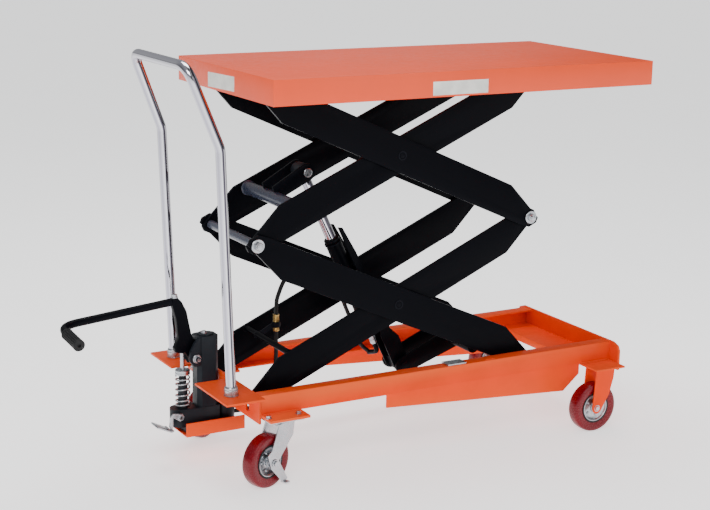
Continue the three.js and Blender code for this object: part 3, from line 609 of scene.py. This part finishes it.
# Rollers: name, height of the axle, where the pin, the near face and the far face lie, radius.
ROLLERS = (
    ("base_roller_", BASE_Z, 151, 185, 211, 22),
    ("deck_roller_", TOP_Z, 139, 172, 198, 26),
)


def roller_profile(start, low, high, radius):
    return [
        (10, start),
        (10, low - 2),
        (13, low - 2),
        (13, low),
        (radius - 2, low),
        (radius, low + 2),
        (radius, high - 2),
        (radius - 2, high),
        (14, high),
        (12, high - 3),
        (9, high - 3),
    ]


def make_arms():
    for side, _ in SIDES:
        for pair in ("lower_inner_arm_", "lower_outer_arm_", "upper_inner_arm_", "upper_outer_arm_"):
            refined(pair + side, "black_paint", 0.9)
    for node, body, radius, along, up, z, lean in CROSS_BARS:
        half = (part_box(node)[1].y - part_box(node)[0].y) / 2 / MM
        run = Vector((ALONG.x, 0, lean * ALONG.z))
        rise = Vector((lean * ACROSS_ARM.x, 0, ACROSS_ARM.z))
        place = at(PIVOT_X, 0, z) + (run * along + rise * up) * MM
        bead = radius + 3.5
        profile = [(bead, -half), (radius, -half + 4), (radius, half - 4), (bead, half)]
        turned(node + "_finished", "black_paint", body, place, ACROSS, [profile], node)
    left, right = at(PIVOT_X, 0, MID_Z), at(PIVOT_X + RUN, 0, MID_Z)
    reach = ARM_FACE + 1
    for side, sign in SIDES:
        centre_pins(side, sign)
        pin = [rod_profile(138.5, reach, PIN_RADIUS)]
        node = "mid_pivot_bolt_" + side
        turned("right_mid_pin_" + side, "zinc", "upper_outer", right, ACROSS * sign, pin, node)
        plated_end("right_mid_bolt_" + side, "upper_outer", right, sign)
        plated_end("left_mid_nut_" + side, "lower_outer", left, sign)
    shaft = [rod_profile(-reach, reach, PIN_RADIUS)]
    turned("left_mid_shaft", "blue_steel", "lower_outer", left, ACROSS, shaft, "mid_pivot_shaft")
    for name, z, *layer in ROLLERS:
        for side, sign in SIDES:
            node, place = name + side, at(PIVOT_X + RUN, 0, z)
            profile = roller_profile(*layer)
            turned(node + "_finished", "zinc", node, place, ACROSS * sign, [profile], node)


def centre_pins(side, sign):
    """The weld ring and the snap ring around each centre pin's outer end."""
    start = ARM_FACE - 0.4
    ring = [(9.5, start), (13, start), (13, start + 1.6), (10.5, start + 1.6)]
    end = [(0.1, start), (6, start), (6, start + 1), (5, start + 1.4)]
    for body, z in (("lower_outer", BASE_Z + RISE / 2), ("upper_outer", MID_Z + RISE / 2)):
        place = at(PIVOT_X + RUN / 2, 0, z)
        bm = bmesh.new()
        add_turned(bm, place, ACROSS * sign, ring, 40, ring=True)
        add_turned(bm, place, ACROSS * sign, end, 32)
        dress(shape_object("centre_pin_" + body + "_" + side, bm), "black_paint", body)


make_deck()
make_arms()


# ---------------------------------------------------------------- hydraulic cylinder
LEAN = math.radians(64.5)
DOWN = Vector((math.cos(LEAN), 0, -math.sin(LEAN)))
FRONT = Vector((math.sin(LEAN), 0, math.cos(LEAN)))


def on_arm(along, up):
    """A point of the upper inner arms, along the line of their pivots and above it."""
    return at(PIVOT_X, 0, MID_Z) + (ALONG * along + ACROSS_ARM * up) * MM


PIN_ALONG, PIN_UP = 262, 54
ROD_PIN = on_arm(PIN_ALONG, PIN_UP)
ROD = 15
ROD_PROFILE = [(9, 12), (ROD, 18), (ROD, 354), (14, 355.5)]
EYE_PROFILE = [(10.2, -26), (20.5, -26), (22, -24.5), (22, 24.5), (20.5, 26), (10.2, 26)]
NECK_PROFILE = [(17, 14), (19, 17), (19, 30), (17.5, 33), (15.2, 34)]
CROSS_TUBE_PROFILE = [(22, -139.7), (19, -135.5), (19, 135.5), (22, 139.7)]
ROD_PIN_PROFILE = [(0.1, 0), (10, 0), (10, 36), (12.5, 36.2), (12.5, 41), (11, 42)]
BARREL_END = 555
BARREL_PROFILE = [
    (15.3, 225),
    (21, 225),
    (22.5, 226.5),
    (22.5, 232),
    (20.5, 233.5),
    (20.5, 236),
    (25, 237),
    (25, 241),
    (23, 242),
    (23, BARREL_END - 2),
    (21, BARREL_END),
    (0.1, BARREL_END),
]
WIPER_PROFILE = [(15.1, 223.5), (18.5, 223.5), (18.5, 226), (15.1, 226)]
# The port's fitting: hexagons as (radius, start, end) down the barrel's axis, and the neck between them.
PORT = {"front": 8, "nut": (10.5, -2, 14), "end": (9.5, 18, 32), "elbow": 62, "corner": 16, "pipe": 7.2}
PORT_NECK = [(7.5, 13), (7.5, 18), (6.5, 19)]


def make_cylinder():
    turned("cylinder_rod_finished", "chrome", "rod", ROD_PIN, DOWN, [ROD_PROFILE], "cylinder_rod", 56)
    bm = bmesh.new()
    add_turned(bm, ROD_PIN, ACROSS, EYE_PROFILE, ring=True)
    add_turned(bm, ROD_PIN, DOWN, NECK_PROFILE, 40)
    dress(shape_object("rod_eye", bm), "pump_casting", "rod")
    middle = on_arm(146, 36.4)
    turned("rod_cross_tube", "blue_steel", "upper_inner", middle, ACROSS, [CROSS_TUBE_PROFILE], None, 64)
    make_ears()
    bm = bmesh.new()
    for _, sign in SIDES:
        add_turned(bm, ROD_PIN, ACROSS * sign, ROD_PIN_PROFILE, 40)
    dress(shape_object("rod_pin_finished", bm), "zinc", "upper_inner")
    barrel = ("cylinder_barrel_finished", "black_paint", "barrel", ROD_PIN, DOWN, [BARREL_PROFILE])
    turned(*barrel, "cylinder_barrel", 64)
    bm = bmesh.new()
    add_turned(bm, ROD_PIN, DOWN, WIPER_PROFILE, 48, ring=True)
    dress(shape_object("rod_wiper", bm), "black_rubber", "barrel")
    refined("cylinder_carrier", "black_paint", 1.2)
    make_port()
    refined("cylinder_foot_bracket", "black_paint", 1.2)


def make_port():
    """The fitting in the barrel's foot, and the elbow that turns to the hose."""
    fitting = ROD_PIN + (DOWN * BARREL_END - FRONT * PORT["front"]) * MM
    bm = bmesh.new()
    add_hexagon(bm, fitting, DOWN, *PORT["nut"])
    add_turned(bm, fitting, DOWN, PORT_NECK, 32)
    add_hexagon(bm, fitting, DOWN, *PORT["end"])
    dress(shape_object("cylinder_port", bm), "zinc", "barrel")
    end = at(*HOSE_UPPER[-1])
    bend = fitting + DOWN * PORT["elbow"] * MM
    last = end + (bend - end).normalized() * -4 * MM
    line = rounded_line([fitting + DOWN * 30 * MM, bend, last], PORT["corner"])
    tube("cylinder_port_elbow", "black_paint", "barrel", line, PORT["pipe"])


EAR = {"radius": 25, "from": 28, "to": 36, "steps": 16}
EAR_ROOT, EAR_BACK = [(158, 28)], [(152, 70), (149, 44)]


def make_ears():
    """The two ears that hold the rod's pin, welded to the cross tube."""
    steps, radius = EAR["steps"], EAR["radius"]
    angles = [math.pi * i / steps for i in range(steps + 1)]
    local = EAR_ROOT + [(PIN_ALONG + radius * math.sin(a), PIN_UP - radius * math.cos(a)) for a in angles]
    places = [on_arm(along, up) for along, up in local + EAR_BACK]
    points = [((place.x - START) / MM, place.z / MM) for place in places]
    bm = bmesh.new()
    for _, sign in SIDES:
        add_plate(bm, points, *sorted((EAR["from"] * sign, EAR["to"] * sign)))
    bmesh.ops.recalc_face_normals(bm, faces=bm.faces)
    soften(bm, 1.0)
    dress(shape_object("rod_ears", bm), "black_paint", "upper_inner", "rod_bracket")


HOSE_RADIUS = 6
HOSE_X, HOSE_Y = 196, 66
HOSE_LOWER = [
    (53.8, 50, 118),
    (80, 50, 118),
    (122, 54, 122),
    (166, 62, 146),
    (190, HOSE_Y, 200),
    (HOSE_X, HOSE_Y, 258),
    (HOSE_X, HOSE_Y, 305),
    (HOSE_X, HOSE_Y, 334.7),
]
HOSE_UPPER = [
    (HOSE_X, HOSE_Y, 384.3),
    (HOSE_X, HOSE_Y, 404),
    (202, HOSE_Y, 440),
    (234, 68, 492),
    (306, HOSE_Y, 512),
    (386, HOSE_Y, 450),
    (432, HOSE_Y, 360),
    (466, 58, 270),
    (496, 46, 236),
]
SLEEVE = {"start": 335, "end": 384, "bore": 6.2, "radius": 9.5, "groove": 8.6, "ribs": 14, "pitch": 3.0}
CLAMP_PLATE = [(128, 322), (146, 322), (188, 347), (188, 362), (146, 340), (128, 338)]
CLAMP_RING = [(9.8, 346), (12, 346), (12, 362), (9.8, 362)]
CLAMP_SIDES = (64, 68)


def make_hose():
    line = smooth_line([at(*p) for p in HOSE_LOWER])
    lower = tube("hose_lower_finished", "black_rubber", None, line, HOSE_RADIUS, "hose_lower")
    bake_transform(lower)
    line = smooth_line([at(*p) for p in HOSE_UPPER])
    upper = tube("hose_upper_finished", "black_rubber", None, line, HOSE_RADIUS, "hose_upper")
    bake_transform(upper)
    start, end, bore, radius = (SLEEVE[k] for k in ("start", "end", "bore", "radius"))
    profile = [(bore, start), (radius - 0.5, start), (radius, start + 1)]
    for i in range(SLEEVE["ribs"]):
        z = start + 4 + i * SLEEVE["pitch"]
        profile += [(radius, z), (SLEEVE["groove"], z + SLEEVE["pitch"] / 2)]
    profile += [(radius, end - 1), (radius - 0.5, end), (bore, end)]
    place = at(HOSE_X, HOSE_Y, 0)
    turned("hose_sleeve_finished", "brass", "lower_inner", place, UP, [profile], "hose_sleeve", 32)
    bm = bmesh.new()
    add_plate(bm, CLAMP_PLATE, *CLAMP_SIDES)
    add_turned(bm, place, UP, CLAMP_RING, 32, ring=True)
    dress(shape_object("hose_clamp", bm), "black_paint", "lower_inner")


make_hose()
make_cylinder()


# ---------------------------------------------------------------- base frame and handle
RAIL_LOW, RAIL_TOP = 194.9, 249.9
WELD_Y = 222.5
CASTER_BOLTS = ((17, 252), (106, 252), (17, 186), (106, 186))
BOLT_WASHER = [(0.1, 0), (9, 0), (9, 1.5), (8.4, 2)]
REST_PAD = [(606, -181), (668, -181), (668, -217), (606, -217)]
PLATE_WELDS = [
    ((3.2, -218, 251), (3.2, -60, 251)),
    ((3.2, 114, 251), (3.2, 218, 251)),
    ((1184.5, -219, 250.7), (1184.5, -186, 250.7)),
    ((1184.5, 186, 250.7), (1184.5, 219, 250.7)),
    ((1186, -182, 197), (1186, 182, 197)),
]
PAD_WELD = [((735, -214, 250.5), (768, -213, 250.5))]


def make_base():
    for node in ("front_end_plate", "rear_cross_plate"):
        refined(node, "orange_paint", 1.2)
    for side, sign in SIDES:
        refined("base_rail_" + side, "orange_paint", 1.6)
        refined("handle_plate_" + side, "orange_paint", 1.2)
        outer = WELD_Y * sign
        lines = [
            ((14, outer, 196.5), (128, outer, 196.5)),
            ((1082, outer, 195.5), (1184, outer, 195.5)),
        ]
        weld("rail_weld_" + side, lines, "base")
        bm = bmesh.new()
        for x, y in CASTER_BOLTS:
            place = at(x, y * sign, RAIL_LOW + 1)
            add_turned(bm, place, UP, BOLT_WASHER, 32)
            add_hexagon(bm, place, UP, 7.2, 1.8, 8)
        dress(shape_object("caster_bolts_" + side, bm), "zinc", "base")
    bm = bmesh.new()
    add_plate(bm, REST_PAD, RAIL_TOP + 0.1, RAIL_TOP + 4.1, "level")
    soften(bm, 0.8)
    dress(shape_object("rail_rest_pad", bm), "zinc", "base")
    weld("plate_welds", PLATE_WELDS, "base")
    weld("rest_pad_weld", PAD_WELD, "base")


HANDLE = {
    "foot": (-67, 256.5),
    "bend": (-97, 924),
    "top": (-182, 1137),
    "y": 196,
    "top_y": 183,
    "radius": 13.5,
}
HANDLE_CORNERS = (11, 46, 46, 11)
COLLAR = [(0.1, 0), (20, 0), (20, 2.5), (18, 4), (17, 4)]
COLLAR_NUT = [(16.5, 2), (19, 5), (19, 17), (17.5, 19), (17.5, 23), (15.5, 26), (13.6, 26)]


def handle_leg(sign):
    """The leg's points from the foot up."""
    heights = (HANDLE["foot"], HANDLE["bend"], HANDLE["top"])
    out = (HANDLE["y"], HANDLE["y"], HANDLE["top_y"])
    return [at(x, y * sign, z) for (x, z), y in zip(heights, out)]


def make_handle():
    near, far = handle_leg(-1), handle_leg(1)
    line = near + list(reversed(far))
    path = [line[0]]
    for before, here, after, corner in zip(line, line[1:], line[2:], HANDLE_CORNERS):
        path += rounded_line([before, here, after], corner)[1:-1]
    path.append(line[-1])
    tube("push_handle_finished", "chrome", "base", path, HANDLE["radius"], "push_handle", 40)
    lean = (near[1] - near[0]).normalized()
    for (side, _), (foot, *_) in zip(SIDES, (near, far)):
        bm = bmesh.new()
        add_turned(bm, foot, UP, COLLAR, 48)
        add_turned(bm, foot, lean, COLLAR_NUT, 48)
        dress(shape_object("handle_collar_" + side, bm), "zinc", "base")


make_base()
make_handle()


# ---------------------------------------------------------------- wheels and casters
def mirrored(half):
    """A ring's profile from the half of it on one side of the middle plane."""
    return [(radius, -along) for radius, along in half] + list(reversed(half))


TREAD = mirrored([(46.5, 17), (58, 19.3), (64, 19.8), (69, 19), (72.6, 16.5), (74.4, 12), (75, 6)])
RIM = mirrored([(42.2, 18.2), (44, 19), (46.8, 18.4)])
HUB = mirrored([
    (8.2, 19.8),
    (14, 19.8),
    (15, 19),
    (15.5, 12),
    (19, 10.5),
    (31, 10.5),
    (37, 13),
    (40, 17.5),
    (42.2, 17.8),
])
HUB_BOLTS = {"count": 5, "circle": 26, "radius": 4.2, "from": 10, "to": 14}


def make_wheel(kind, side, body, axis):
    node = f"{kind}_tyre_{side}"
    place = centre(node)
    turned(node + "_finished", "red_urethane", body, place, axis, [TREAD], node, 96, True)
    turned(f"{kind}_rim_{side}", "black_rubber", body, place, axis, [RIM], None, 96, True)
    bm = bmesh.new()
    add_turned(bm, place, axis, HUB, 72, ring=True)
    for face in (-1, 1):
        for corner in ring_points(place, axis, HUB_BOLTS["circle"] * MM, HUB_BOLTS["count"]):
            add_hexagon(bm, corner, axis * face, HUB_BOLTS["radius"], HUB_BOLTS["from"], HUB_BOLTS["to"])
    dress(shape_object(f"{kind}_hub_{side}_finished", bm), "zinc", body, f"{kind}_hub_{side}")


YAW = {"near": 200, "far": 215}
REAR_X, REAR_Y = 62, 224
RACE = [
    (12, 170.5),
    (27, 170.5),
    (30, 172.5),
    (30, 175.5),
    (27.5, 177.5),
    (31, 178.5),
    (31.5, 180.5),
    (31.5, 183),
    (12, 183),
]
FRONT_WASHER = [(0.1, 24), (10.5, 24), (10.5, 27.6), (9.6, 28.2)]
REAR_WASHER = [(0.1, 35.5), (11, 35.5), (11, 37), (10, 38)]
REAR_AXLE_END = [(0.1, 37), (6.5, 37), (6.5, 41), (5.5, 42)]


def make_front_caster(side, sign):
    make_wheel("front", side, "front_wheel_" + side, ACROSS)
    refined("front_fork_" + side, "orange_paint", 1.6)
    axle = centre("front_tyre_" + side)
    bm = bmesh.new()
    for face in (-1, 1):
        add_turned(bm, axle, ACROSS * face, FRONT_WASHER, 40)
    add_hexagon(bm, axle, ACROSS * sign, 8.2, 27.5, 30.2)
    add_hexagon(bm, axle, ACROSS * -sign, 9, 28, 35)
    dress(shape_object("front_axle_" + side, bm), "zinc", "base")


def make_rear_caster(side, sign):
    yaw = math.radians(YAW[side])
    axis = Vector((-math.sin(yaw), math.cos(yaw), 0))
    make_wheel("rear", side, "rear_wheel_" + side, axis)
    refined("rear_fork_" + side, "zinc", 1.4)
    refined("swivel_plate_" + side, "zinc", 1.0)
    bm = bmesh.new()
    add_turned(bm, at(REAR_X, REAR_Y * sign, 0), UP, RACE, 56, ring=True)
    dress(shape_object("swivel_race_" + side, bm), "zinc", "rear_swivel_" + side)
    refined("brake_pedal_" + side, "zinc", 0.8)
    axle = centre("rear_tyre_" + side)
    bm = bmesh.new()
    for face in (-1, 1):
        add_turned(bm, axle, axis * face, REAR_WASHER, 40)
        add_turned(bm, axle, axis * face, REAR_AXLE_END, 32)
    dress(shape_object("rear_axle_" + side, bm), "zinc", "rear_swivel_" + side)


def make_casters():
    for side, sign in SIDES:
        make_front_caster(side, sign)
        make_rear_caster(side, sign)


make_casters()


# ---------------------------------------------------------------- foot pump
PUMP_Y = 50
RESERVOIR_X, PISTON_X = 26, -103
RESERVOIR = [(22, 84.3), (26, 86), (27.5, 90), (27.5, 163), (25.5, 168), (21, 169.7)]
# Bolts of the pump: profiles are (radius, distance out from the pump's middle plane or from the face).
FILLER = [(0.1, -1), (9, -1), (9, 1.2), (8, 2)]
PIVOT_WASHER = [(0.1, 27.4), (12.5, 27.4), (12.5, 30), (11.5, 31)]
PIVOT_THREAD = [(0.1, 36.5), (6.5, 36.5), (6.5, 42), (5, 43)]
RELEASE_WASHER = [(0.1, 39.3), (9.5, 39.3), (9.5, 41), (8.5, 42)]
CRANK_WASHER = [(0.1, -1), (10, -1), (10, 1.5), (9, 2)]
PISTON_CAP = [
    (15, 250),
    (19, 250),
    (21, 251.5),
    (21, 255.5),
    (19.6, 256.5),
    (19.6, 258),
    (21, 259),
    (21, 263),
    (19, 265),
    (6, 265),
    (6, 312.4),
    (5, 313.4),
]
PISTON_ROD = [(9, 125), (10.5, 127), (10.5, 250)]
GUIDE = [(10.9, 154.2), (14, 154.2), (14, 220), (13, 221.5), (10.9, 221.5)]
PEDAL_BEND = (-455, 50, 432)
PEDAL = {"start": (-135.6, 50, 462.5), "end": (-455, -9.6, 427.8), "corner": 52, "radius": 11}
GRIP = {"start": (-455, -9.9, 427.75), "end": (-455, -105, 421), "ribs": 18, "sides": 72, "rib": 0.9}


def make_pump_bolts():
    bm = bmesh.new()
    top = at(-37, PUMP_Y, 362)
    add_turned(bm, top, UP, FILLER, 32)
    add_hexagon(bm, top, UP, 6.5, 1.8, 7)
    pivot = at(-71, PUMP_Y, 298)
    for sign in (-1, 1):
        add_turned(bm, pivot, ACROSS * sign, PIVOT_WASHER, 40)
        add_hexagon(bm, pivot, ACROSS * sign, 9.5, 30.5, 37)
        add_turned(bm, pivot, ACROSS * sign, PIVOT_THREAD, 32)
    release = at(-126, PUMP_Y, 138)
    add_turned(bm, release, ACROSS * -1, RELEASE_WASHER, 40)
    add_hexagon(bm, release, ACROSS * -1, 7.5, 41.5, 45)
    dress(shape_object("pump_bolts", bm), "zinc", "base")


def make_pump():
    refined("pump_tray", "orange_paint", 1.0)
    refined("pump_body", "pump_casting", 3.0)
    place = at(RESERVOIR_X, PUMP_Y, 0)
    turned("reservoir_finished", "pump_casting", "base", place, UP, [RESERVOIR], "reservoir", 64)
    make_pump_bolts()
    refined("pump_crank", "black_paint", 3.0)
    bm = bmesh.new()
    nub = at(-125, PUMP_Y, 475)
    add_turned(bm, nub, UP, CRANK_WASHER, 32)
    add_hexagon(bm, nub, UP, 8.5, 1.8, 9)
    dress(shape_object("crank_bolt", bm), "zinc", "crank")
    corners = [at(*PEDAL["start"]), at(*PEDAL_BEND), at(*PEDAL["end"])]
    line = rounded_line(corners, PEDAL["corner"], 20)
    tube("pedal_bar_finished", "black_paint", "crank", line, PEDAL["radius"], "pedal_bar", 32)
    make_grip()
    axle = at(PISTON_X, PUMP_Y, 0)
    turned("pump_piston_finished", "zinc", "piston", axle, UP, [PISTON_CAP], "pump_piston", 48)
    turned("pump_piston_rod", "pump_casting", "piston", axle, UP, [PISTON_ROD], None, 40)
    turned("pump_guide", "pump_casting", "base", axle, UP, [GUIDE], None, 40, True)
    make_spring()
    refined("release_pedal", "zinc", 1.0)


def make_grip():
    """A ribbed rubber sleeve with a rolled end."""
    start, end = at(*GRIP["start"]), at(*GRIP["end"])
    axis = (end - start).normalized()
    length = (end - start).length / MM
    sides, deep = GRIP["sides"], GRIP["rib"]
    stations = [
        (11.2, 0, 0),
        (15.5, 0.5, 0),
        (16, 2, 0),
        (16, 5, 0),
        (14.8, 6, deep),
        (14.8, length - 7, deep),
        (16, length - 5.5, 0),
        (16, length - 1.5, 0),
        (14.8, length, 0),
        (5, length, 0),
        (4.5, length - 5, 0),
    ]
    rings = []
    for radius, along, rib in stations:
        middle = start + axis * along * MM
        ring = ring_points(middle, axis, 1 * MM, sides)
        raised = [(i * GRIP["ribs"] * 2 // sides) % 2 for i in range(sides)]
        out = [radius + (rib if up else -rib) for up in raised]
        rings.append([middle + (p - middle) * reach for p, reach in zip(ring, out)])
    bm = bmesh.new()
    add_rings(bm, rings)
    dress(shape_object("pedal_grip_finished", bm), "black_rubber", "crank", "pedal_grip")


SPRING = {"low": 154.4, "high": 249.5, "radius": 19.5, "wire": 2.2, "turns": 6.5, "steps": 28, "ease": 0.035}


def make_spring():
    low, high, radius, wire = (SPRING[k] for k in ("low", "high", "radius", "wire"))
    count = int(SPRING["turns"] * SPRING["steps"])
    points = []
    for i in range(count + 1):
        t = i / (SPRING["turns"] * SPRING["steps"])
        ease = t + SPRING["ease"] * math.sin(2 * math.pi * (t + 0.5))
        angle = 2 * math.pi * SPRING["turns"] * t
        x = PISTON_X + radius * math.cos(angle)
        y = PUMP_Y + radius * math.sin(angle)
        points.append(at(x, y, low + wire + (high - low - 2 * wire) * ease))
    spring = tube("return_spring_finished", "zinc", "base", points, wire, "return_spring", 12)
    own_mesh(spring)


make_pump()


# ---------------------------------------------------------------- studio
FLOOR_HALF = 45
FLOOR_GLOW = 1.1
PAPER = [(0.3, (0.86, 0.86, 0.86)), (0.7, (0.9, 0.9, 0.9))]


def make_floor():
    bm = bmesh.new()
    corners = [(x * FLOOR_HALF, y * FLOOR_HALF) for x, y in ((-1, -1), (1, -1), (1, 1), (-1, 1))]
    bm.faces.new([bm.verts.new((x, y, 0)) for x, y in corners])
    floor = shape_object("floor", bm)
    material, tree, shader = new_material("floor_paper")
    tone = ramp(tree, noise(tree, coordinates(tree), 1.2, 3.0), PAPER)
    tree.links.new(tone, shader.inputs["Base Color"])
    shader.inputs["Roughness"].default_value = 0.9
    shader.inputs["Emission Color"].default_value = (1, 1, 1, 1)
    shader.inputs["Emission Strength"].default_value = FLOOR_GLOW
    floor.data.materials.append(material)


def area_light(name, place, aim, size, watts):
    data = bpy.data.lights.new(name, "AREA")
    data.shape = "RECTANGLE"
    data.size, data.size_y = size
    data.energy = watts
    light = bpy.data.objects.new(name, data)
    ahead = (Vector(aim) - Vector(place)).normalized()
    turn = ahead.to_track_quat("-Z", "Y").to_matrix().to_4x4()
    light.matrix_world = Matrix.Translation(place) @ turn
    bpy.context.scene.collection.objects.link(light)


# How bright the room is, from its left (0) to its right (1) as the camera sees it.
ROOM = [
    (0.0, 0.35),
    (0.12, 0.9),
    (0.30, 1.0),
    (0.44, 0.85),
    (0.54, 0.75),
    (0.60, 0.10),
    (0.68, 0.06),
    (0.74, 0.9),
    (0.90, 1.0),
    (1.0, 0.3),
]
ROOM_STRENGTH = 0.5
# Lamps: name, place, aim, size, watts.
LAMPS = (
    ("key", (-2.6, -3.0, 3.4), (0, 0, 0.6), (2.4, 1.8), 90),
    ("front", (1.6, -4.4, 1.9), (0, 0, 0.5), (2.0, 2.4), 34),
    ("top", (0.3, 0.8, 4.2), (0, 0, 0.8), (3.0, 2.4), 120),
)


def make_world():
    world = bpy.data.worlds.new("studio")
    world.use_nodes = True
    tree = world.node_tree
    where = tree.nodes.new("ShaderNodeTexCoord")
    across = tree.nodes.new("ShaderNodeVectorMath")
    across.operation = "DOT_PRODUCT"
    turn = math.radians(CAMERA["azimuth"])
    across.inputs[1].default_value = (math.cos(turn), math.sin(turn), 0)
    tree.links.new(where.outputs["Generated"], across.inputs[0])
    place = spread(tree, across.outputs["Value"], 0.0, 1.0, -1.0, 1.0)
    tone = ramp(tree, place, [(u, (v * 0.96, v * 0.98, v)) for u, v in ROOM])
    background = tree.nodes["Background"]
    tree.links.new(tone, background.inputs["Color"])
    background.inputs["Strength"].default_value = ROOM_STRENGTH
    bpy.context.scene.world = world


def make_studio():
    make_floor()
    make_world()
    for lamp in LAMPS:
        area_light(*lamp)


make_studio()
